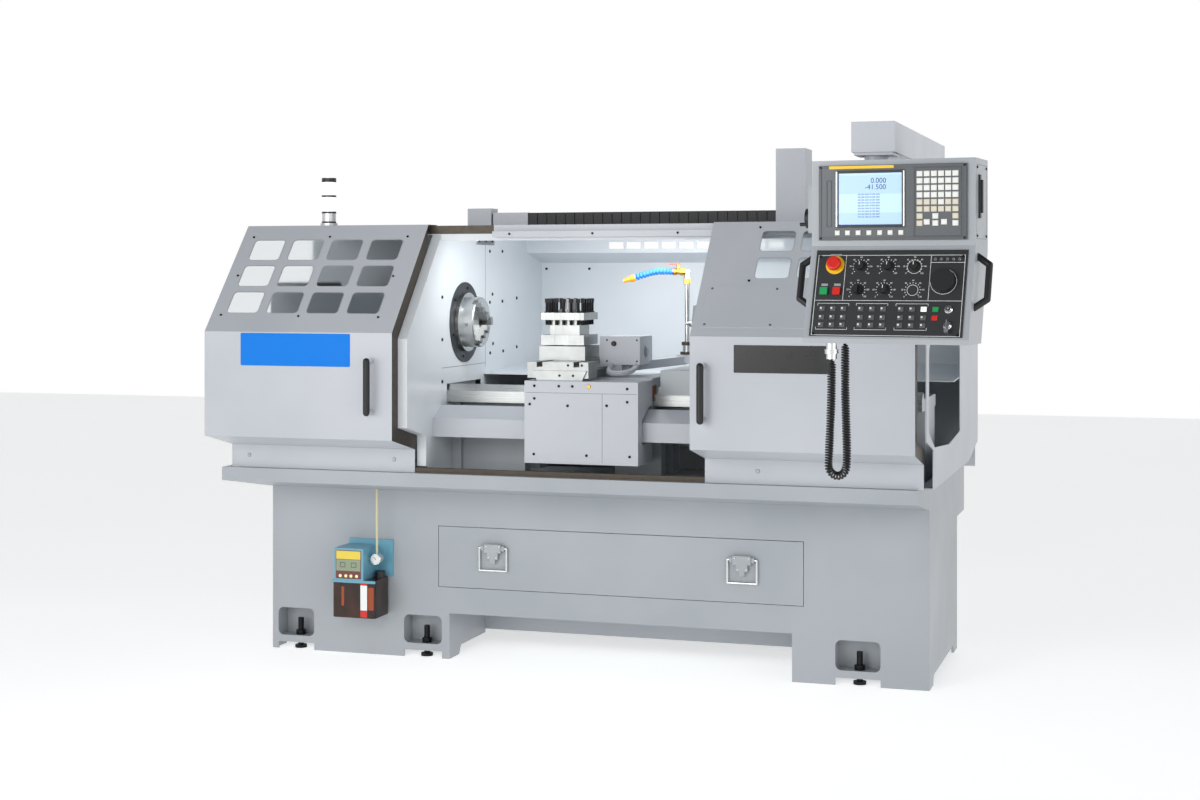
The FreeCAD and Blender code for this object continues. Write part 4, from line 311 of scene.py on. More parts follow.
amber_tank, tree, shader, place = start_material("dark_amber_tank", "#3A1D10", 0.16,
                                                 Transmission_Weight=0.35, IOR=1.5)
swirl = add(tree, "ShaderNodeTexNoise", inputs={"Vector": place, "Scale": per_metre(60), "Detail": 2.0})
feed_colours(tree, shader, swirl.outputs["Fac"], ("#1B0F0A", "#4B2615"))

lamp_glass, tree, shader, place = start_material("white_lamp_glass", "#F4F6F5", 0.2,
                                                 Emission_Strength=0.5,
                                                 Emission_Color=linear("#F6F8F4"))
cloud = add(tree, "ShaderNodeTexNoise", inputs={"Vector": place, "Scale": per_metre(8)})
feed_range(tree, shader, "Roughness", cloud.outputs["Fac"], 0.18, 0.26)
print("see-through:", clear_sheet.name, amber_tank.name)

# %% [markdown]
# A studio shot of a machine uses very large, soft lights, so that enamel shows broad, gentle
# gradients and steel has something bright to reflect. Area lights do that here: a wide one in front
# and to the left, a narrower one from the right, a soft one overhead, and two small ones that light
# the work space. The world fills the shadows, pale low down and darker above, as in a tall studio.
# The floor is a plain, pale plane that isn't part of the machine.

# %% Studio floor, world and lights
REACH = 12  # metres from the middle of the floor to its edge
floor_mesh = bpy.data.meshes.new("studio_floor")
floor_mesh.from_pydata([(-REACH, -REACH, 0), (REACH, -REACH, 0), (REACH, REACH, 0), (-REACH, REACH, 0)],
                       [], [(0, 1, 2, 3)])
studio_floor = bpy.data.objects.new("studio_floor", floor_mesh)
bpy.context.scene.collection.objects.link(studio_floor)
floor_paint, tree, shader, place = start_material("pale_studio_floor", "#F4F4F3", 0.7,
                                                  Emission_Strength=0.62,
                                                  Emission_Color=linear("#F6F6F6"))
mottle = add(tree, "ShaderNodeTexNoise", inputs={"Vector": place, "Scale": 0.8, "Detail": 2.0})
feed_colours(tree, shader, mottle.outputs["Fac"], ("#F2F2F1", "#F6F6F5"))
floor_mesh.materials.append(floor_paint)

world = bpy.data.worlds.new("studio_world")
world.use_nodes = True
background = world.node_tree.nodes["Background"]
looking = add(world.node_tree, "ShaderNodeTexCoord").outputs["Generated"]
height = add(world.node_tree, "ShaderNodeSeparateXYZ", inputs={0: looking}).outputs["Z"]
ceiling = add(world.node_tree, "ShaderNodeValToRGB", inputs={"Fac": height})
for element, colour, place in zip(ceiling.color_ramp.elements, ("#FFFFFF", "#50555A"), (0.3, 0.58)):
    element.color = linear(colour)
    element.position = place
world.node_tree.links.new(ceiling.outputs["Color"], background.inputs["Color"])
background.inputs["Strength"].default_value = 1.0
bpy.context.scene.world = world
bpy.context.scene.view_settings.view_transform = "Standard"
print("the studio is pale at the horizon and darker overhead")


def soft_light(name, place, aim, width, height, power):
    data = bpy.data.lights.new(name, "AREA")
    data.shape = "RECTANGLE"
    data.size, data.size_y, data.energy = width, height, power
    lamp = bpy.data.objects.new(name, data)
    lamp.location = place
    lamp.visible_camera = False
    lamp.rotation_euler = (Vector(aim) - Vector(place)).to_track_quat("-Z", "Y").to_euler()
    bpy.context.scene.collection.objects.link(lamp)
    print(name, power, "W")


soft_light("front_softbox", (-2.2, -5.2, 1.7), (0.0, -0.2, 0.9), 3.2, 2.4, 60)
soft_light("right_softbox", (4.4, -2.6, 1.7), (0.6, 0.0, 1.0), 1.6, 2.4, 25)
soft_light("overhead_softbox", (0.2, -0.6, 4.2), (0.0, 0.1, 1.0), 3.6, 2.2, 12)
soft_light("work_lamp", MACHINE @ Vector((1250, 150, 1375)), MACHINE @ Vector((1000, 480, 900)),
           1.0, 0.25, 4.5)
soft_light("opening_light", (-0.3, -2.6, 1.6), MACHINE @ Vector((1050, 700, 1150)), 0.8, 0.8, 9)

# %% [markdown]
# ## The curly lead
# A hand unit's lead leaves the pendant through a metal gland and returns into it a little further
# in. It is a coiled cable: about 24 mm across the coil and 5 mm thick. Its route is a short list of
# points in the pendant's own millimetres. A smooth NURBS spline through that control polygon gives
# the coil's middle line, and a loop winds the cable round it. A helix on a straight line, bent by a
# curve modifier, would stretch its turns unevenly at the bottom bend.

# %% Route of the lead and its smooth middle line
LEAD_ROUTE = [(-96, -100, 1093), (-96, -100, 1005), (-99, -102, 915), (-102, -104, 840),
              (-104, -105, 795), (-79, -106, 778), (-55, -104, 792), (-53, -101, 838),
              (-57, -96, 915), (-61, -91, 1000), (-62, -88, 1066), (-62, -88, 1137)]


def evaluated_mesh(made):
    """The plain mesh that an object's curve, text or modifier comes to."""
    bpy.context.view_layer.update()
    return bpy.data.meshes.new_from_object(made.evaluated_get(bpy.context.evaluated_depsgraph_get()))


def smooth_line(name, points):
    """The evenly divided points of a NURBS spline that has these control points."""
    data = bpy.data.curves.new(name, "CURVE")
    data.dimensions = "3D"
    data.resolution_u = 24
    spline = data.splines.new("NURBS")
    spline.points.add(len(points) - 1)
    for target, point in zip(spline.points, points):
        target.co = (*point, 1.0)
    spline.order_u = 3
    spline.use_endpoint_u = True
    guide = bpy.data.objects.new(name, data)
    bpy.context.scene.collection.objects.link(guide)
    mesh = evaluated_mesh(guide)
    line = [vertex.co.copy() for vertex in mesh.vertices]
    bpy.data.objects.remove(guide)
    bpy.data.meshes.remove(mesh)
    return line


lead_line = smooth_line("lead_guide", [PENDANT @ Vector(point) for point in LEAD_ROUTE])
lead_run = sum((b - a).length for a, b in zip(lead_line, lead_line[1:]))
print("the lead's middle line has", len(lead_line), "points and is", round(lead_run, 3), "m long")

# %% Wind the cable round the middle line
CABLE, COIL_RADIUS, TURN_PITCH, STEPS = 5.0 * MM, 9.4 * MM, 7.0 * MM, 14


def frames_along(line, spacing):
    """Places evenly spaced along a line, each with its tangent, by linear steps."""
    places, left = [], 0.0
    for a, b in zip(line, line[1:]):
        run = (b - a).length
        way = (b - a) / run
        while left <= run:
            places.append((a + way * left, way))
            left += spacing
        left -= run
    return places


places = frames_along(lead_line, TURN_PITCH / STEPS)
side = Vector((0.0, 1.0, 0.0))
coil_points = []
plain_end = 26  # steps over which the coil opens to its full radius at each end
for i, (middle, way) in enumerate(places):
    side = (side - way * side.dot(way)).normalized()
    across = way.cross(side)
    turn = 2 * math.pi * i / STEPS
    ease = min(1.0, i / plain_end, (len(places) - 1 - i) / plain_end)
    wobble = 1.0 + 0.05 * math.sin(i * 0.031) + 0.03 * math.sin(i * 0.0073 + 1.0)
    radius = COIL_RADIUS * ease * min(wobble, 1.0)
    coil_points.append(middle + (side * math.cos(turn) + across * math.sin(turn)) * radius)

lead_curve = bpy.data.curves.new("curly_lead", "CURVE")
lead_curve.dimensions = "3D"
lead_curve.bevel_depth = CABLE / 2
lead_curve.bevel_resolution = 2
lead_curve.resolution_u = 1
lead_spline = lead_curve.splines.new("POLY")
lead_spline.points.add(len(coil_points) - 1)
for target, point in zip(lead_spline.points, coil_points):
    target.co = (*point, 1.0)
lead_curve.use_fill_caps = True
lead_curve.materials.append(lead_rubber)
curly_lead = bpy.data.objects.new("curly_lead", lead_curve)
bpy.context.scene.collection.objects.link(curly_lead)
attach(curly_lead, "pendant")
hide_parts("curly_cord")

# %% [markdown]
# ## Finishes of the solid pieces
# Every solid in the frame keeps its shape and gets a finish. Most have one, so a table of node names
# is the plainest way to say it, in the order in which the machine would be put together.

# %% One finish for each solid
FINISHES = {
    grey_enamel: ["base_cabinet", "chip_pan", "drawer", "pendant_housing", "electrical_cabinet",
                  "belt_cover"],
    light_enamel: ["left_door", "right_door", "right_end_panel", "header_beam", "service_tower",
                   "pendant_arm", "apron", "turret_drive", "bed_front_cover"],
    interior_enamel: ["headstock_guard", "rear_guard"],
    casting_enamel: ["bed", "headstock", "saddle", "tailstock"],
    charcoal_enamel: ["spindle_motor", "arm_post", "operator_panel"],
    slate_enamel: ["display_unit"],
    ground_way: ["ball_screw"],
    bronze_anodising: ["door_rails"],
    ground_slide: ["cross_slide"],
    ground_block: ["turret_head", "jaw_1", "jaw_2", "jaw_3"],
    turned_spindle: ["spindle", "chuck_body", "tailstock_quill"],
    turned_pulley: ["motor_pulley"],
    bright_tube: ["coolant_pipe"],
    chrome_plate: ["tailstock_handwheel", "left_bail", "right_bail", "cord_gland"],
    black_oxide: ["levelling_bolts", "turret_screws"],
    anodised_aluminium: ["stack_light"],
    chain_nylon: ["cable_chain"],
    belt_rubber: ["drive_belt"],
    lead_rubber: ["curly_cord"],
    black_nylon: ["left_handle", "right_handle", "pendant_handles", "jog_dial", "mode_selector",
                  "handwheel"],
    clear_sheet: ["left_window", "right_window"],
    pump_plastic: ["lubricator_pump"],
    amber_tank: ["lubricator_tank"],
    red_plastic: ["emergency_stop", "feed_hold_button"],
    green_plastic: ["cycle_start_button"],
}
for material, names in FINISHES.items():
    for name in names:
        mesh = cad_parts[name].data
        mesh.materials.clear()
        mesh.materials.append(material)
finished = sum(len(names) for names in FINISHES.values())
print(finished, "of", len(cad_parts), "solids have a finish")
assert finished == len(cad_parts)

# %% [markdown]
# Some solids have two finishes on one body, such as a painted casting whose ways are ground bright.
# On the real part the paint is masked there. Here a second material slot is given to the faces that
# pass a test on where they lie and which way they look, and no point of the mesh moves.

# %% Second finishes on parts of a solid
to_drawing = MACHINE.inverted()


def mask(node, material, test):
    """Gives a material to the faces whose middle, in drawing millimetres, and normal pass a test."""
    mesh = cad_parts[node].data
    mesh.materials.append(material)
    index = len(mesh.materials) - 1
    masked = 0
    for polygon in mesh.polygons:
        if test(to_drawing @ polygon.center, polygon.normal):
            polygon.material_index = index
            masked += 1
    print(node, "has", masked, "faces in", material.name)


WALL = 682.0
WAY_FOOT, WAY_TOP, SADDLE_TOP, GUARD_RING = 884, 923, 978.5, 140
mask("bed", ground_way, lambda p, n: p.z > WAY_FOOT and (p.z > WAY_TOP or n.y < -0.9))
mask("saddle", ground_slide, lambda p, n: p.z > SADDLE_TOP)
mask("headstock_guard", dark_ring_steel,
     lambda p, n: p.x > WALL + 0.5 and math.hypot(p.y - SPINDLE_Y, p.z - SPINDLE_Z) < GUARD_RING)
mask("coolant_pipe", blue_plastic, lambda p, n: p.x < 1392 and p.z > 1290)
for door_side in ("left", "right"):
    mask(door_side + "_handle", chrome_plate, lambda p, n: p.y > -463 and abs(p.z - 957.5) > 70)
    mask(door_side + "_door", bronze_anodising, lambda p, n: abs(n.x) > 0.9)
mask("pendant_housing", chrome_plate, lambda p, n: p.z > 1626)

# %% [markdown]
# ## Helpers for the smaller pieces
# Most small pieces on a machine are either flat, such as plates and keys, or turned on a lathe, such
# as knobs and rings. Two functions draw them in a board's own millimetres: a plate has rounded
# corners and a broken edge, and a turned part is a profile swept round an axis. Modifiers could do
# the same, but a plain mesh is closed and final at once.

# %% Draw plates and turned parts
def skin(shape, rings, closed=False):
    """Faces between neighbouring rings of points, with a cap on each end unless closed in a loop."""
    for lower, upper in zip(rings, rings[1:] + ([rings[0]] if closed else [])):
        for i in range(len(lower)):
            j = (i + 1) % len(lower)
            shape.faces.new((lower[i], lower[j], upper[j], upper[i]))
    if not closed:
        shape.faces.new(rings[0])
        shape.faces.new(rings[-1])


def plate(shape, x0, z0, x1, z1, front, back, corner_radius=2.0, edge=0.5):
    """A plate facing the operator: front is the y of its face, back the y that it stands on."""
    rings = []
    for y, inset in ((back, 0.0), (front + edge, 0.0), (front, edge)):
        ring = []
        for middle_x, middle_z, start in ((x1 - corner_radius, z1 - corner_radius, 0),
                                          (x0 + corner_radius, z1 - corner_radius, 90),
                                          (x0 + corner_radius, z0 + corner_radius, 180),
                                          (x1 - corner_radius, z0 + corner_radius, 270)):
            for step in range(4):
                angle = math.radians(start + 30 * step)
                ring.append(shape.verts.new((middle_x + (corner_radius - inset) * math.cos(angle), y,
                                             middle_z + (corner_radius - inset) * math.sin(angle))))
        rings.append(ring)
    skin(shape, rings)


def turned(shape, centre, profile, axis="Y", steps=24, closed=False, flutes=0, depth=0.0):
    """A profile of (height, radius) pairs swept round an axis; Y heights point at the operator."""
    rings = []
    for height, radius in profile:
        ring = []
        for i in range(steps):
            angle = 2 * math.pi * i / steps
            fluted = flutes and i % (steps // flutes) == 0 and radius > 4 * depth
            reach = radius - (depth if fluted else 0.0)
            across, up = reach * math.cos(angle), reach * math.sin(angle)
            offset = {"Y": (across, -height, up), "Z": (across, up, height),
                      "X": (height, across, up)}[axis]
            ring.append(shape.verts.new(Vector(centre) + Vector(offset)))
        rings.append(ring)
    skin(shape, rings, closed)


def finish(name, shape, board, material, body, sharp=35):
    """Turns the drawn shape into a piece that rides on a body."""
    bmesh.ops.recalc_face_normals(shape, faces=shape.faces)
    for face in shape.faces:
        face.smooth = True
    for line in shape.edges:
        line.smooth = line.calc_face_angle(0.0) < math.radians(sharp)
    bmesh.ops.transform(shape, matrix=board, verts=shape.verts)
    mesh = bpy.data.meshes.new(name)
    shape.to_mesh(mesh)
    shape.free()
    mesh.materials.append(material)
    piece = bpy.data.objects.new(name, mesh)
    bpy.context.scene.collection.objects.link(piece)
    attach(piece, body)
    print(name, len(mesh.polygons), "faces on", body)
    return piece

# %% [markdown]
# Screws, keys and hose beads repeat, so Geometry Nodes make them. A handful of points says where they
# sit and which way they face, and the tree puts one head on each point. All heads share one recipe:
# a cylinder whose top face is drawn in to break the edge, and then sunk to make the socket. Copying
# one object by hand would do for five screws, but not for a hundred whose size may still change.

# %% One tree for screw heads, key caps and beads
def heads_tree(name, square):
    tree = bpy.data.node_groups.new(name, "GeometryNodeTree")
    tree.interface.new_socket("Geometry", in_out="INPUT", socket_type="NodeSocketGeometry")
    for label in ("Width", "Height", "Rise", "Edge Share", "Socket Share", "Socket Depth"):
        tree.interface.new_socket(label, in_out="INPUT", socket_type="NodeSocketFloat")
    tree.interface.new_socket("Finish", in_out="INPUT", socket_type="NodeSocketMaterial")
    tree.interface.new_socket("Geometry", in_out="OUTPUT", socket_type="NodeSocketGeometry")
    given = add(tree, "NodeGroupInput").outputs
    half_rise = add(tree, "ShaderNodeMath", {"operation": "MULTIPLY"},
                    {0: given["Rise"], 1: 0.5}).outputs[0]
    if square:
        size = add(tree, "ShaderNodeCombineXYZ", inputs={"X": given["Width"], "Y": given["Height"],
                                                         "Z": given["Rise"]}).outputs[0]
        block = add(tree, "GeometryNodeMeshCube", inputs={"Size": size}).outputs["Mesh"]
        looks_up = add(tree, "ShaderNodeSeparateXYZ",
                       inputs={0: add(tree, "GeometryNodeInputNormal").outputs["Normal"]}).outputs["Z"]
        top = add(tree, "ShaderNodeMath", {"operation": "GREATER_THAN"},
                  {0: looks_up, 1: 0.5}).outputs[0]
    else:
        radius = add(tree, "ShaderNodeMath", {"operation": "MULTIPLY"},
                     {0: given["Width"], 1: 0.5}).outputs[0]
        disc = add(tree, "GeometryNodeMeshCylinder", inputs={"Vertices": 18, "Radius": radius,
                                                             "Depth": given["Rise"]})
        block, top = disc.outputs["Mesh"], disc.outputs["Top"]
    lip = add(tree, "GeometryNodeExtrudeMesh",
              inputs={"Mesh": block, "Selection": top, "Offset Scale": half_rise, "Individual": False})
    drawn = add(tree, "GeometryNodeScaleElements",
                inputs={"Geometry": lip.outputs["Mesh"], "Selection": lip.outputs["Top"],
                        "Scale": given["Edge Share"]})
    rim = add(tree, "GeometryNodeExtrudeMesh",
              inputs={"Mesh": drawn.outputs[0], "Selection": lip.outputs["Top"], "Offset Scale": 0.0,
                      "Individual": False})
    narrow = add(tree, "GeometryNodeScaleElements",
                 inputs={"Geometry": rim.outputs["Mesh"], "Selection": rim.outputs["Top"],
                         "Scale": given["Socket Share"]})
    sink = add(tree, "ShaderNodeMath", {"operation": "MULTIPLY"},
               {0: given["Socket Depth"], 1: -1.0}).outputs[0]
    socket = add(tree, "GeometryNodeExtrudeMesh",
                 inputs={"Mesh": narrow.outputs[0], "Selection": rim.outputs["Top"],
                         "Offset Scale": sink, "Individual": False})
    facing = add(tree, "GeometryNodeInputNamedAttribute", {"data_type": "FLOAT_VECTOR"},
                 {"Name": "facing"})
    turn = add(tree, "FunctionNodeAlignRotationToVector", {"axis": "Z"},
               {"Vector": facing.outputs["Attribute"]})
    copies = add(tree, "GeometryNodeInstanceOnPoints",
                 inputs={"Points": given["Geometry"], "Instance": socket.outputs["Mesh"],
                         "Rotation": turn.outputs["Rotation"]})
    real = add(tree, "GeometryNodeRealizeInstances", inputs={"Geometry": copies.outputs["Instances"]})
    painted = add(tree, "GeometryNodeSetMaterial",
                  inputs={"Geometry": real.outputs[0], "Material": given["Finish"]})
    add(tree, "NodeGroupOutput", inputs={"Geometry": painted.outputs[0]})
    return tree


round_heads = heads_tree("round_heads", False)
square_caps = heads_tree("square_caps", True)


def scatter(name, tree, board, places, body, material, width, rise, height=0.0,
            edge_share=0.86, socket_share=0.5, socket_depth=1.0):
    """Puts one head on each (place, facing) pair, given in the board's millimetres."""
    points = bpy.data.meshes.new(name + "_places")
    points.from_pydata([place for place, facing in places], [], [])
    points.attributes.new("facing", "FLOAT_VECTOR", "POINT").data.foreach_set(
        "vector", [value for place, facing in places for value in facing])
    piece = bpy.data.objects.new(name, points)
    bpy.context.scene.collection.objects.link(piece)
    modifier = piece.modifiers.new(name, "NODES")
    modifier.node_group = tree
    values = {"Width": width, "Height": height, "Rise": rise, "Edge Share": edge_share,
              "Socket Share": socket_share, "Socket Depth": socket_depth, "Finish": material}
    for item in tree.interface.items_tree:
        if item.in_out == "INPUT" and item.name in values:
            modifier[item.identifier] = values[item.name]
    mesh = evaluated_mesh(piece)
    piece.modifiers.clear()
    piece.data = mesh
    bpy.data.meshes.remove(points)
    mesh.transform(board)
    mesh.name = name
    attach(piece, body)
    print(name, len(places), "heads,", len(mesh.polygons), "faces")
    return piece


def screws(name, board, places, body, width=7.0, material=None, facing=(0, -1, 0)):
    return scatter(name, round_heads, board, [(place, facing) for place in places], body,
                   material or black_oxide, width, 2.6)

# %% [markdown]
# ## Doors
# The doors are folded sheet. Button-head screws hold the window frame to the slope, and each door has
# one plain plate on its front, where such a machine carries its name. Here the plates stay blank. The
# sliding edges have a bronze-coloured wiper strip, and small screws hold the skirt.

# %% Screws and plates on the two doors
LEFT_SLOPE = [(14, 415), (302, 415), (589, 414), (13, 242), (586, 240), (10, 70), (296, 67), (583, 65)]
RIGHT_SLOPE = [(1794, 443), (1790, 222), (1679, 189), (1884, 188), (1677, 46), (1882, 46), (2085, 188),
               (2085, 46), (2296, 443), (2296, 222)]
screws("left_door_screws", SLOPE, [(x, 0, s) for x, s in LEFT_SLOPE], "door_left", 8.0)
screws("right_door_screws", SLOPE, [(x, 0, s) for x, s in RIGHT_SLOPE], "door_right", 8.0)
screws("left_skirt_screws", MACHINE, [(x, -247, 705) for x in (40, 575)], "door_left", 14.0, zinc_plate)
screws("right_skirt_screws", MACHINE, [(x, -247, 705) for x in (1808, 2066)], "door_right", 14.0,
       zinc_plate)

sign = bmesh.new()
plate(sign, 108, 1019, 503, 1126, -435.2, -433.6, 4.0)
finish("left_door_plate", sign, MACHINE, plain_blue, "door_left")
sign = bmesh.new()
plate(sign, 1776, 1021, 2070, 1105, -435.2, -433.6, 3.0)
finish("right_door_plate", sign, MACHINE, plain_black, "door_right")
cover = bmesh.new()
plate(cover, 1664, 34, 2100, 202, -1.8, 0.4, 5.0)
finish("right_slope_cover", cover, SLOPE, light_enamel, "door_right")

# %% [markdown]
# The clear sheets are held by a thin rubber gasket round each opening. The gasket is one small hoop,
# so a function draws a hoop for each opening and the hoops of a door become one piece.

# %% Gaskets round the windows
def gaskets(name, left, pitch, feet, width, height, body, corner_radius=14):
    shape = bmesh.new()
    for column in range(4):
        for foot in feet:
            x0, z0 = left + pitch * column, foot
            rings = []
            for inset, y in ((-0.3, -0.9), (1.6, -0.9), (1.6, 1.0), (-0.3, 1.0)):
                ring = []
                for mx, mz, start in ((x0 + width - corner_radius, z0 + height - corner_radius, 0),
                                      (x0 + corner_radius, z0 + height - corner_radius, 90),
                                      (x0 + corner_radius, z0 + corner_radius, 180),
                                      (x0 + width - corner_radius, z0 + corner_radius, 270)):
                    for step in range(6):
                        angle = math.radians(start + 18 * step)
                        reach = corner_radius - inset
                        ring.append(shape.verts.new((mx + reach * math.cos(angle), y,
                                                     mz + reach * math.sin(angle))))
                rings.append(ring)
            skin(shape, rings, closed=True)
    finish(name, shape, SLOPE, grey_enamel, body)


gaskets("left_window_gaskets", 26.0, 145.7, (310.0, 194.5, 78.5), 116.0, 92.0, "door_left")
gaskets("right_window_gaskets", 1804.0, 131.0, (342.0, 230.0), 109.0, 86.0, "door_right")

# %% [markdown]
# ## Inside the work space
# The wall behind the chuck is bolted up from sheets, so it shows seams and a scatter of black socket
# screws. Button heads are drawn a little proud of the sheet, because a head that is only painted on
# has no shadow. The roof beam carries three more, and a small bracket hangs under the roof.

# %% Screws and seams on the chuck wall
EAST, OPERATOR = (1, 0, 0), (0, -1, 0)
WALL_SCREWS = [(359, 1402), (487, 1403), (-90, 1242), (385, 1247), (487, 1220), (359, 1218), (640, 1230),
               (-90, 1098), (390, 1068), (640, 1047), (495, 1037), (362, 1035), (-90, 956)]
screws("chuck_wall_screws", MACHINE, [(WALL, y, z) for y, z in WALL_SCREWS], "frame", 12.0, facing=EAST)
CIRCLE = 120
ring_angles = [math.radians(20 + 60 * i) for i in range(6)]
ring_screws = [(WALL + 4, SPINDLE_Y + CIRCLE * math.cos(angle), SPINDLE_Z + CIRCLE * math.sin(angle))
               for angle in ring_angles]
screws("chuck_ring_screws", MACHINE, ring_screws, "frame", 9.0, facing=EAST)
screws("header_screws", MACHINE, [(x, -135, 1453) for x in (941, 1230, 1519)], "frame", 8.0)
screws("rear_wall_screws", MACHINE, [(x, 757, z) for x in (760, 931, 1400, 1900) for z in (1040, 1340)],
       "frame", 10.0)

seam = bmesh.new()
for x0, z0, x1, z1 in ((315.2, 989, 316.8, 1440), (-94, 1001.2, 315.2, 1002.8)):
    plate(seam, x0, z0, x1, z1, -0.35, 0.2, 0.3, 0.1)
WALL_BOARD = MACHINE @ Matrix.Translation((WALL, 0, 0)) @ Matrix.Rotation(QUARTER_TURN, 4, "Z")
finish("chuck_wall_seams", seam, WALL_BOARD, slate_enamel, "frame")

bracket = bmesh.new()
plate(bracket, 225, 1424, 400, 1453, -3.0, 0.2, 4.0)
finish("roof_bracket", bracket, WALL_BOARD, zinc_plate, "frame")
screws("roof_bracket_screws", WALL_BOARD, [(y, -3, 1438) for y in (250, 312, 375)], "frame", 9.0)

# %% [markdown]
# ## Carriage
# The apron is a painted casting with a row of cap screws along its joint with the saddle, a brass oil
# plug, and dark rubber wipers where it slides over the bed. The screws are blacked, because they hold
# cast iron and are taken out for service, and their sockets catch the light as small rings.

# %% Screws, plug and wipers of the carriage
APRON_FACE = -228
APRON_SCREWS = [(1062, 957), (1146, 957), (1192, 957), (1377, 952), (1062, 916), (1046, 897),
                (1176, 894), (1308, 897), (1377, 910), (1060, 735), (1240, 735), (1385, 735)]
screws("apron_screws", MACHINE, [(x, APRON_FACE, z) for x, z in APRON_SCREWS], "carriage", 9.0)
screws("saddle_nose_screws", MACHINE, [(1146, -222, 991), (1192, -222, 991)], "carriage", 8.0)
screws("cross_slide_screws", MACHINE, [(x, -215, 1024) for x in (1080, 1173, 1220)],
       "cross_slide_unit", 8.0)
screws("oil_plug", MACHINE, [(1248, APRON_FACE, 957)], "carriage", 14.0, brass)
lines = bmesh.new()
for x0, z0, x1, z1 in ((1032, 934.4, 1409, 935.6), (1292.4, 712, 1293.6, 934)):
    plate(lines, x0, z0, x1, z1, -228.3, -227.8, 0.3, 0.1)
finish("apron_joint_lines", lines, MACHINE, slate_enamel, "carriage")
wipers = bmesh.new()
plate(wipers, 1412, 902, 1415.5, 954, -62, -20, 1.2)
plate(wipers, 1024.5, 902, 1029, 954, -62, -20, 1.2)
finish("way_wipers", wipers, MACHINE, wiper_rubber, "carriage")

# %% [markdown]
# ## Tool post drive and coolant
# The grey box beside the tool post turns it. A braided conduit feeds it. Coolant comes up a steel
# tube to a brass tap with a red lever, and then through a hose of blue snap-on beads that stays
# where it is bent, with an orange nozzle. The beads follow a path, so the head tree makes them:
# each bead is a short disc with a drawn-in lip, facing along the hose.

# %% Beads, nozzle and tap
HOSE = [(1392, 280, 1328), (1340, 256, 1331), (1298, 240, 1318), (1262, 228, 1306)]
hose_curve = smooth_line("hose_guide", [MACHINE @ Vector(point) for point in HOSE])
hose_line = [to_drawing @ point for point in hose_curve]
bead_places = [(tuple(place), tuple(way)) for place, way in frames_along(hose_line, 11.5)]
scatter("hose_beads", round_heads, MACHINE, bead_places, "coolant_riser",
        blue_plastic, 23.0, 6.0, edge_share=0.7, socket_share=0.6, socket_depth=2.0)
aim = Vector(HOSE[-1]) - Vector(HOSE[-2])
along = aim.normalized().to_track_quat("Z", "Y").to_matrix().to_4x4()
nozzle = bmesh.new()
turned(nozzle, (0, 0, 0), [(-6, 11.5), (4, 12.5), (8, 12.5), (12, 9), (30, 7), (36, 5), (36, 3),
                           (20, 3)], "Z")
finish("coolant_nozzle", nozzle, MACHINE @ Matrix.Translation(HOSE[-1]) @ along, orange_plastic,
       "coolant_riser")
tap = bmesh.new()
turned(tap, (1392, 280, 1328), [(-4, 10), (0, 12), (10, 12), (12, 9), (22, 9), (24, 13), (38, 13),
                                (42, 9)], "X", 12)
turned(tap, (1408, 280, 1328), [(6, 5), (20, 5), (21, 7), (25, 7)], "Z", 12)
turned(tap, (1437, 290, 1300), [(-16, 10), (-14, 12.5), (4, 12.5), (6, 10)], "Z", 6)
finish("coolant_tap", tap, MACHINE, brass, "coolant_riser")
lever = bmesh.new()
plate(lever, 1374, 1352, 1414, 1356, 273, 287, 1.9)
finish("tap_lever", lever, MACHINE, red_plastic, "coolant_riser")

# %% Details of the drive box, the tool post and the coolant post
plug = bmesh.new()
turned(plug, (1262, 0, 1088), [(-0.5, 9), (3, 9), (3, 7), (7, 7), (8, 6)], steps=18)
finish("drive_box_plug", plug, MACHINE, black_nylon, "cross_slide_unit")
cap = bmesh.new()
turned(cap, (1352, 75, 1062), [(-0.5, 22), (2, 22), (3, 20.5), (3, 16), (5, 15)], "X")
finish("drive_box_cap", cap, MACHINE, zinc_plate, "cross_slide_unit")
screws("drive_box_screws", MACHINE, [(x, 0, z) for x in (1238, 1342) for z in (1030, 1100)],
       "cross_slide_unit", 6.0)
clamp = bmesh.new()
for foot, top, radius in ((1042, 1052, 24), (1074, 1086, 19)):
    turned(clamp, (1437, 290, foot), [(0, radius), (top - foot, radius)], "Z", 24)
finish("coolant_post_clamps", clamp, MACHINE, bronze_anodising, "coolant_riser")

# %% [markdown]
# ## Control pendant
# The upper half is a screen with soft keys and a keypad. Its parts are drawn on the pendant board in
# millimetres from the housing's middle. A real screen is a lit panel behind glass: a pale blue
# emission with broad, faint bands. The readout shows plain numbers, as a dial does.

# %% Screen, its frame and the keypad's frame
DISPLAY = PENDANT @ Matrix.Translation((PENDANT_MIDDLE, -85.0, 1410.0))
lit_screen, tree, shader, place = start_material("lit_liquid_crystal_screen", "#9DB9DD", 0.18,
                                                 Emission_Strength=0.55,
                                                 Emission_Color=linear("#A9C6EC"))
faint_bands = add(tree, "ShaderNodeTexWave", {"bands_direction": "Z"},
                    {"Vector": place, "Scale": per_metre(16) / WAVE_RADIANS, "Distortion": 0.0})
feed_colours(tree, shader, faint_bands.outputs["Fac"], ("#A9C4E8", "#93B1DA"), (0.45, 0.55))
bezel_plastic = moulded_plastic("dark_grey_bezel_plastic", "#55585B", 0.42, 1.2)


def raised(name, board, rectangles, material, radius=1.5, body="pendant", edge=0.4):
    """Several plates that make one piece: (x0, z0, x1, z1, rise)."""
    shape = bmesh.new()
    for x0, z0, x1, z1, rise in rectangles:
        plate(shape, x0, z0, x1, z1, -rise, 0.5, radius, edge)
    return finish(name, shape, board, material, body)


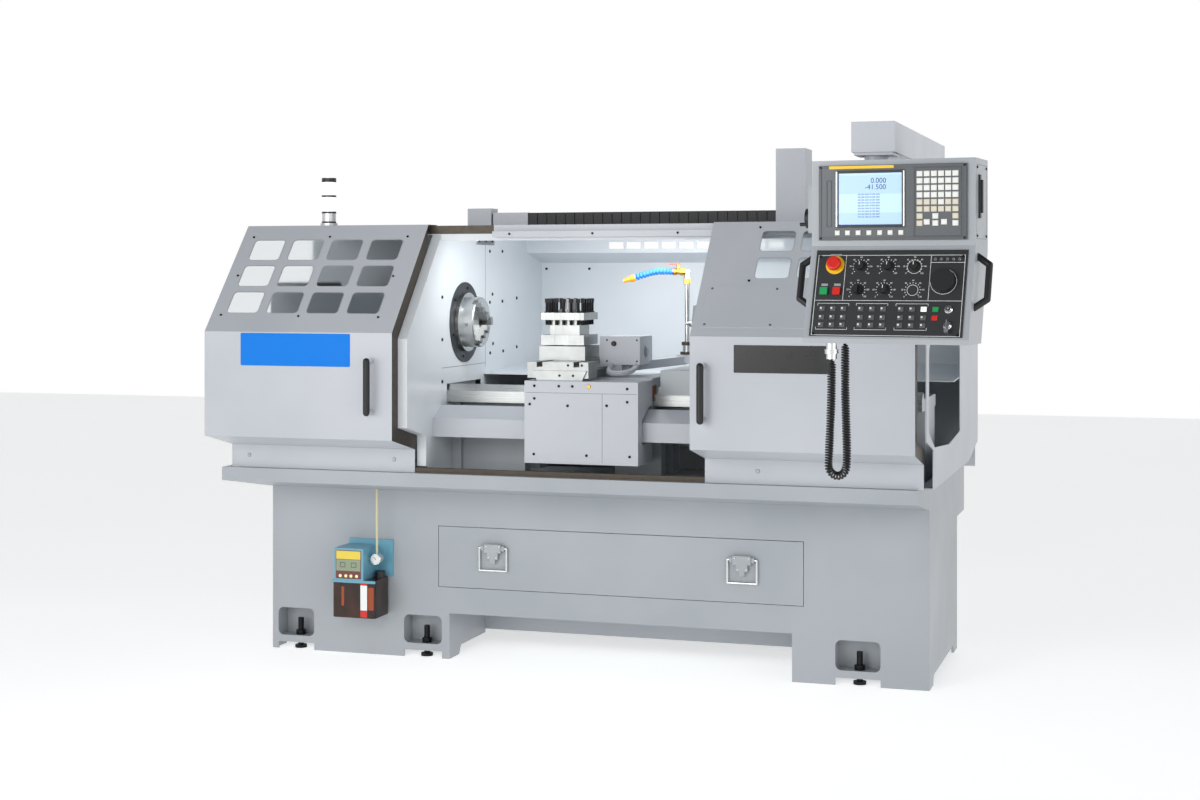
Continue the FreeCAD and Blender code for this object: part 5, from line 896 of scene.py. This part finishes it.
def frame_bars(x0, z0, x1, z1, width, rise):
    """Four bars of a frame, as rectangles for raised()."""
    return [(x0, z0, x1, z0 + width, rise), (x0, z1 - width, x1, z1, rise),
            (x0, z0 + width, x0 + width, z1 - width, rise),
            (x1 - width, z0 + width, x1, z1 - width, rise)]


raised("display_bezel", DISPLAY, frame_bars(-199, 1, 199, 199, 7, 2.0), bezel_plastic,
       1.4)
raised("display_frame", DISPLAY, frame_bars(-152, 34, 35, 186, 7.5, 3.2), black_abs,
       1.4)
raised("display_side_strips", DISPLAY, [(-152, 36, -148, 184, 4.0), (31, 36, 35, 184, 4.0)],
       anodised_aluminium, 1.0)
raised("screen_glass", DISPLAY, [(-144.5, 41.5, 27.5, 178.5, 1.2)], lit_screen, 2.0)
raised("display_stripe", DISPLAY, [(-171, 190.5, 6, 198.5, 2.6)], yellow_plastic, 1.0)
raised("memory_slot", DISPLAY, frame_bars(-178, 36, -164, 160, 1.5, 1.6), bezel_plastic,
       0.7)
raised("keypad_frame", DISPLAY, frame_bars(60, 8, 186, 190, 2.0, 1.8), bezel_plastic,
       0.9)

# %% [markdown]
# Numbers are text curves turned into a mesh, which gives crisp edges at any distance, where a painted
# texture would blur. They lie a tenth of a millimetre above the glass.

# %% Numbers on the screen
screen_ink = moulded_plastic("dark_screen_ink", "#1C2740", 0.4, 3.0, 0.005)


def numbers(name, board, lines, material, body="pendant"):
    """Lines of digits: (text, x, z, size, rise); they become one mesh."""
    joined = bmesh.new()
    for text, x, z, size, rise in lines:
        curve = bpy.data.curves.new(name, "FONT")
        curve.body, curve.size, curve.align_x, curve.extrude = text, size, "CENTER", 0.08
        holder = bpy.data.objects.new(name, curve)
        bpy.context.scene.collection.objects.link(holder)
        mesh = evaluated_mesh(holder)
        mesh.transform(Matrix.Translation((x, -rise, z)) @ Matrix.Rotation(QUARTER_TURN, 4, "X"))
        joined.from_mesh(mesh)
        bpy.data.objects.remove(holder)
        bpy.data.meshes.remove(mesh)
    return finish(name, joined, board, material, body)


readout = [("0.000", -36, 152, 19, 1.3), ("-41.500", -44, 135, 19, 1.3)]
readout += [("000 000 0000 00 000 0000", -62, 120 - 7.5 * row, 5.5, 1.3) for row in range(9)]
numbers("screen_numbers", DISPLAY, readout, screen_ink)

# %% [markdown]
# Keys come from the square cap tree: one set of points for each colour and size.

# %% Soft keys and the keypad
def caps(name, board, places, material, width, height, rise=3.2, edge_share=0.8,
         body="pendant"):
    return scatter(name, square_caps, board, [((x, -1.0, z), OPERATOR) for x, z in places], body,
                   material, width, rise, height, edge_share, 0.8, 0.25)


COLUMN, ROW = [75 + 19 * i for i in range(6)], [174 - 18.6 * i for i in range(9)]
white_places = [(x, z) for z in ROW[:4] for x in COLUMN] + [(COLUMN[3], ROW[4])]
beige_places = [(x, z) for z in ROW[4:6] for x in COLUMN if (x, z) != (COLUMN[3], ROW[4])]
beige_places += [(COLUMN[0], ROW[6]), (COLUMN[0], ROW[7]), (COLUMN[5], ROW[6])]
white_places += [(COLUMN[1], 47), (COLUMN[2] + 4, ROW[6]), (COLUMN[2] + 4, ROW[7]), (COLUMN[3] + 8, 47),
                 (COLUMN[5], ROW[7])]
caps("keypad_white_keys", DISPLAY, white_places, white_plastic, 15.5, 14.5)
caps("keypad_beige_keys", DISPLAY, beige_places, beige_plastic, 15.5, 14.5)
caps("soft_keys", DISPLAY, [(x, 20) for x in (-148, -120, -91, -61.5, -32, -4, 25)], white_plastic,
     13.0, 13.0)
dashes = [(x + dx, -3.4, z) for x, z in white_places + beige_places for dx in (-2.4, 2.4)]
scatter("key_marks", square_caps, DISPLAY, [(place, OPERATOR) for place in dashes], "pendant",
        black_abs, 3.2, 0.3, 2.2, 0.9, 0.8, 0.05)

# %% [markdown]
# ## Operator panel
# The leaning panel is a black membrane with white lines, and it carries an emergency stop on a
# yellow disc, start and hold buttons, six rotary switches with white tick rings, a large jog dial,
# three blocks of small keys, a row of lamps, and two key switches. The switches differ only in place.

# %% Lines printed on the panel
PANEL = CONSOLE @ Matrix.Translation((0.0, -3.0, 0.0))
ink_white = moulded_plastic("white_screen_print", "#E6E8E8", 0.5, 3.0, 0.005)
lines = frame_bars(-198, 8, 198, 232, 1.3, 0.25)
lines += [(-121.6, 105, -120.4, 232, 0.25), (107.4, 105, 108.6, 232, 0.25),
          (-198, 104.4, 198, 105.6, 0.25), (108, 210.4, 198, 211.6, 0.25)]
for left in (-188, -83, 24):
    for bar, tick in ((96, 90), (24, 25)):
        lines += [(left, bar, left + 86, bar + 1, 0.25), (left, tick, left + 1, tick + 6, 0.25),
                  (left + 85, tick, left + 86, tick + 6, 0.25)]
raised("panel_lines", PANEL, lines, ink_white, 0.4, edge=0.1)
labels = [(x - 9, 145, x + 9, 152, 0.3) for x in (-174, -139)] + [(-166, 231, -134, 235, 0.3)]
raised("panel_label_boxes", PANEL, labels, anodised_aluminium, 1.0, edge=0.1)

# %% Rotary switches with their tick rings
KNOBS = [(-80, 199), (-6, 199), (65, 199), (-12, 134)]
DIALS = KNOBS + [(-83, 134), (65, 134)]


def ring_ticks(x, z, radius, count, start=-130, stop=130):
    steps = [math.radians(start + (stop - start) * i / (count - 1)) for i in range(count)]
    return [(x + radius * math.sin(a), -0.25, z + radius * math.cos(a)) for a in steps]


ticks = [place for x, z in DIALS for place in ring_ticks(x, z, 20.5, 13)]
scatter("dial_ticks", round_heads, PANEL, [(place, OPERATOR) for place in ticks], "pendant",
        ink_white, 2.6, 0.3, edge_share=0.9, socket_depth=0.05)
dial_numbers = []
for x, z in DIALS:
    for i, place in enumerate(ring_ticks(x, z, 27.5, 7)):
        dial_numbers.append((str(i * 20), place[0], place[2] - 2.2, 6.0, 0.1))
numbers("dial_numbers", PANEL, dial_numbers, ink_white)
knobs = bmesh.new()
for x, z in KNOBS:
    turned(knobs, (x, 0, z), [(-0.5, 15), (2, 15), (3, 13), (14, 11.5), (16, 10), (16, 2)], flutes=8,
           depth=1.3)
finish("rotary_knobs", knobs, PANEL, black_nylon, "pendant")
raised("knob_pointers", PANEL, [(x - 0.9, z + 1, x + 0.9, z + 10, 16.5) for x, z in KNOBS], ink_white,
       0.6, edge=0.2)
arc = bmesh.new()
for x, z, radius in ((65, 199, 18.2), (145, 158, 34.0), (65, 134, 14.0)):
    turned(arc, (x, 0, z), [(-0.1, radius), (0.25, radius), (0.25, radius + 1.1), (-0.1, radius + 1.1)],
           steps=40, closed=True)
finish("dial_rings", arc, PANEL, ink_white, "pendant")
disc = bmesh.new()
turned(disc, (-150, 0, 204), [(-0.4, 25.5), (1.2, 25.5), (1.6, 25.0)], steps=40)
finish("stop_disc", disc, PANEL, yellow_plastic, "pendant")

# %% Lamps, keys and key switches of the panel
key_places = [(x, z) for block in ((-174, -145, -116), (-69, -39, -9), (38, 68, 99)) for x in block
              for z in (37, 58, 81.5)]
lit = {"white": (99, 81.5), "red": (129, 58), "green": (130, 81.5)}
caps("panel_keys", PANEL, [place for place in key_places if place != lit["white"]], bezel_plastic,
     15, 13, 2.6)
caps("panel_lit_key", PANEL, [lit["white"]], lamp_glass, 15, 13, 3.0)
caps("panel_green_key", PANEL, [lit["green"]], green_plastic, 15, 13, 3.0)
caps("panel_red_key", PANEL, [lit["red"]], red_plastic, 15, 13, 3.0)
caps("panel_key_labels", PANEL, [(x - 3, z + 1) for x, z in key_places], white_plastic,
     5, 5, 4.6)
scatter("panel_lamps", round_heads, PANEL,
        [((x, -0.5, 220), OPERATOR) for x in (119, 135, 151, 167, 183)],
        "pendant", zinc_plate, 9.0, 2.4, edge_share=0.8, socket_share=0.7, socket_depth=1.6)
locks = bmesh.new()
for x, z in ((164, 81.5), (164, 37)):
    turned(locks, (x, 0, z), [(-0.5, 11), (3, 11), (5, 9), (9, 8.5), (10, 7.5), (10, 2), (7, 2)])
finish("key_switches", locks, PANEL, chrome_plate, "pendant")
raised("switch_keys", PANEL, [(163, 24, 165, 50, 18), (159, 16, 169, 27, 17)], zinc_plate, 0.9)
screws("panel_screws", PANEL, [(x, 0, z) for x in (-192, 192) for z in (12, 228)], "pendant", 7.0)
screws("display_screws", DISPLAY, [(x, -2, z) for x in (-194, 194) for z in (5, 195)], "pendant", 6.0)

# %% [markdown]
# ## Pendant sides and stack light
# The pendant's right side is a service door with a black latch. The stack light is a polished post
# with clear stages, parted by dark rings. These are single fittings, so each is drawn one by one.

# %% Side door, latch and stack light rings
PENDANT_SIDE = (PENDANT @ Matrix.Translation((PENDANT_MIDDLE + PENDANT_HALF, 0.0, 0.0))
                @ Matrix.Rotation(QUARTER_TURN, 4, "Z"))
raised("side_door_seam", PENDANT_SIDE, frame_bars(-66, 1412, 62, 1608, 1.4, 0.3), slate_enamel,
       0.4, edge=0.1)
raised("side_door_latch", PENDANT_SIDE, [(-44, 1466, -26, 1581, 5), (-40, 1480, -30, 1567, 11)],
       black_abs, 3.0, edge=1.2)
screws("side_door_screws", PENDANT_SIDE, [(y, 0, z) for y in (-58, 54) for z in (1420, 1600)],
       "pendant", 7.0)

stages = bmesh.new()
for low, high in ((1497, 1503), (1531, 1537), (1588, 1594), (1640, 1654)):
    turned(stages, (228, -20, 0), [(low, 23.5), (low, 25.2), (high, 25.2), (high, 23.5)], "Z", 32)
finish("stack_light_rings", stages, MACHINE, black_abs, "frame")
lenses = bmesh.new()
for low, high in ((1537, 1588), (1594, 1640)):
    turned(lenses, (228, -20, 0), [(low, 23.6), (low + 1, 24.6), (high - 1, 24.6), (high, 23.6)], "Z",
           32)
finish("stack_light_lenses", lenses, MACHINE, lamp_glass, "frame")

# %% [markdown]
# Behind the machine is the control cabinet: two doors with locks, and a louvred vent in each. A vent
# is a column of equal slats, so the cap tree makes them: one long, low cap on each point.

# %% Cabinet doors, locks and vents
def back_board(node):
    """A board on a node's back face, seen from behind, with the node's length and top."""
    low, high = [to_drawing @ corner_point for corner_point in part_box(node)]
    print(node, "from", [round(value) for value in low], "to", [round(value) for value in high])
    place = Matrix.Translation((high.x, high.y, 0.0)) @ Matrix.Rotation(math.radians(180), 4, "Z")
    return MACHINE @ place, high.x - low.x, high.z


REAR, cabinet_width, cabinet_top = back_board("electrical_cabinet")
door_foot = 1030.0
half_way = cabinet_width / 2
doors = frame_bars(14, door_foot, half_way - 4, cabinet_top - 22, 1.6, 0.5)
doors += frame_bars(half_way + 4, door_foot, cabinet_width - 14, cabinet_top - 22, 1.6, 0.5)
raised("cabinet_door_seams", REAR, doors, slate_enamel, 0.5, body="frame", edge=0.1)
slats = [((x, 0.0, z), OPERATOR) for x in (half_way / 2, half_way * 1.5)
         for z in [door_foot + 60 + 16 * i for i in range(8)]]
scatter("cabinet_vent_slats", square_caps, REAR, slats, "frame", grey_enamel, 170.0, 3.0,
        9.0, 0.9, 0.8, 0.6)
locks = bmesh.new()
for x in (half_way - 34, half_way + 34):
    for z in (1180, 1380):
        turned(locks, (x, 0, z), [(-0.5, 14), (2.5, 14), (4, 12), (4, 6), (9, 5), (9, 2)])
finish("cabinet_locks", locks, REAR, black_abs, "frame")
screws("cabinet_screws", REAR, [(x, 0, z) for x in (24, half_way - 14, half_way + 14, cabinet_width - 24)
                                for z in (door_foot + 12, cabinet_top - 34)], "frame", 9.0)

# %% Seams and screws of the rear guard
GUARD, guard_length = back_board("rear_guard")[:2]
seams = [guard_length * i / 3 for i in range(4)]
raised("rear_guard_seams", GUARD, [(x - 0.8, 700, x + 0.8, 1340, 0.4) for x in seams[1:3]],
       slate_enamel, 0.5, body="frame", edge=0.1)
beside_seams = [x + side for x, sides in zip(seams, ((14,), (-14, 14), (-14, 14), (-14,)))
                for side in sides]
screws("rear_guard_screws", GUARD, [(x, 0, z) for x in beside_seams for z in (700, 910, 1120, 1330)],
       "frame", 9.0)

# %% [markdown]
# ## Lubricator and drawer
# The lubricator on the left leg is a pale blue pump over a dark amber tank. Its front has a small
# yellow readout over a sage scale, and four warm lamps. A gauge hangs beside it, on a nylon tube.
# The drawer's two hinged handles fold flat against riveted plates.

# %% Lubricator front, gauge and tank
mask("lubricator_pump", nylon_tube, lambda p, n: p.x > 425 and p.z > 362)
mask("lubricator_pump", chrome_plate,
     lambda p, n: p.x > 408 and 323 < p.z < 362.5 and -83 < p.y < -57)
mask("lubricator_tank", black_abs, lambda p, n: p.z > 275.5)
LUBRICATOR = MACHINE @ Matrix.Translation((299.0, -126.0, 275.0))
readout_yellow = moulded_plastic("yellow_readout_sheet", "#E6CC4C", 0.35, 30.0, 0.003)
readout_sage = moulded_plastic("sage_scale_sheet", "#8E9A7E", 0.4, 30.0, 0.003)
panel_brown = moulded_plastic("brown_printed_sheet", "#6E3A3E", 0.4, 30.0, 0.003)
warm_lamp = moulded_plastic("warm_lit_key", "#F6E3A2", 0.3, 3.0, 0.01, Emission_Strength=0.25,
                            Emission_Color=linear("#F6DE90"))
# A lighter amber for painted light: light shining through the tank's side walls is painted on as a
# brighter colour.
painted_tank_light = moulded_plastic("painted_light_amber_tank_wall", "#9C4314", 0.18, 30.0, 0.003)
raised("pump_panel", LUBRICATOR, [(6, 4, 100, 101, 0.8)], panel_brown, 2.0, body="frame")
raised("pump_readout", LUBRICATOR, [(8, 71, 98, 99, 1.3)], readout_yellow, 1.5,
       body="frame")
raised("pump_scale", LUBRICATOR, [(8, 31, 98, 70, 1.3)], readout_sage, 1.5,
       body="frame")
raised("pump_displays", LUBRICATOR,
       frame_bars(22, 43, 42, 60, 2.2, 2.2) + frame_bars(63, 43, 83, 60, 2.2, 2.2),
       slate_enamel, 1.0, body="frame")
scatter("pump_lamps", round_heads, LUBRICATOR, [((x, -0.6, 14), OPERATOR) for x in (23, 44, 63, 84)],
        "frame", warm_lamp, 11.0, 2.4, edge_share=0.8, socket_share=0.7,
        socket_depth=0.6)
GAUGE_MIDDLE = (433, -82, 343)
gauge = bmesh.new()
turned(gauge, GAUGE_MIDDLE, [(-1, 19.5), (2, 19.5), (3, 18.5), (3, 16.5), (1, 16.5), (-1, 16.5)],
       closed=True, steps=32)
finish("gauge_rim", gauge, MACHINE, chrome_plate, "frame")
face = bmesh.new()
turned(face, GAUGE_MIDDLE, [(-0.5, 16.8), (1.0, 16.8), (1.2, 16.4)], steps=32)
finish("gauge_face", face, MACHINE, label_white, "frame")
GAUGE = MACHINE @ Matrix.Translation((433.0, -83.2, 343.0))
hand = [(-0.6, -3, 0.6, 11, 0.8)]
raised("gauge_hand", GAUGE @ Matrix.Rotation(math.radians(-40), 4, "Y"), hand, black_abs,
       0.5, body="frame", edge=0.2)
scatter("gauge_ticks", round_heads, GAUGE, [(place, OPERATOR) for place in ring_ticks(0, 0, 13.5, 11)],
        "frame", black_abs, 1.6, 0.6, edge_share=0.9, socket_depth=0.05)
TANK = MACHINE @ Matrix.Translation((290.0, -122.0, 146.0))
raised("tank_top_rim", TANK, [(-1.5, 119, 160.5, 128.5, 1.6)], pump_plastic, 2.0,
       body="frame")
raised("tank_level_strip", TANK, [(105, 27, 130, 112, 0.6)], label_white, 1.0,
       body="frame")
raised("tank_red_marks", TANK, [(105, 3, 130, 26, 0.7), (105, 112.5, 130, 118, 0.7)], red_plastic,
       1.0, body="frame")
# These two lighter amber strips are painted light, standing in for light that shines through the tank's
# walls.
raised("tank_painted_light_walls", TANK, [(134, 28, 154, 106, 0.5), (34, 40, 44, 106, 0.5)], painted_tank_light,
       3.0, body="frame")

# %% Handle plates on the drawer
DRAWER_FACE = (to_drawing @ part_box("drawer")[0]).y
print("the drawer's front is at y", round(DRAWER_FACE, 2))
drawer_board = MACHINE @ Matrix.Translation((0.0, DRAWER_FACE, 0.0))
RIVETS = [(-24, 395), (24, 395), (-14, 358), (14, 358)]
for label, middle in (("left", 834.0), ("right", 1701.0)):
    raised(label + "_handle_plate", drawer_board,
           [(middle - 31, 372, middle + 31, 402, 1.6), (middle - 20, 350, middle + 20, 373, 1.4),
            (middle - 10, 336, middle + 10, 351, 1.2)],
           zinc_plate, 3.5, body="drawer_unit", edge=0.5)
    scatter(label + "_plate_rivets", round_heads, drawer_board,
            [((middle + x, -1.6, z), OPERATOR) for x, z in RIVETS],
            "drawer_unit", chrome_plate, 6.0, 2.0, edge_share=0.6, socket_depth=0.02)
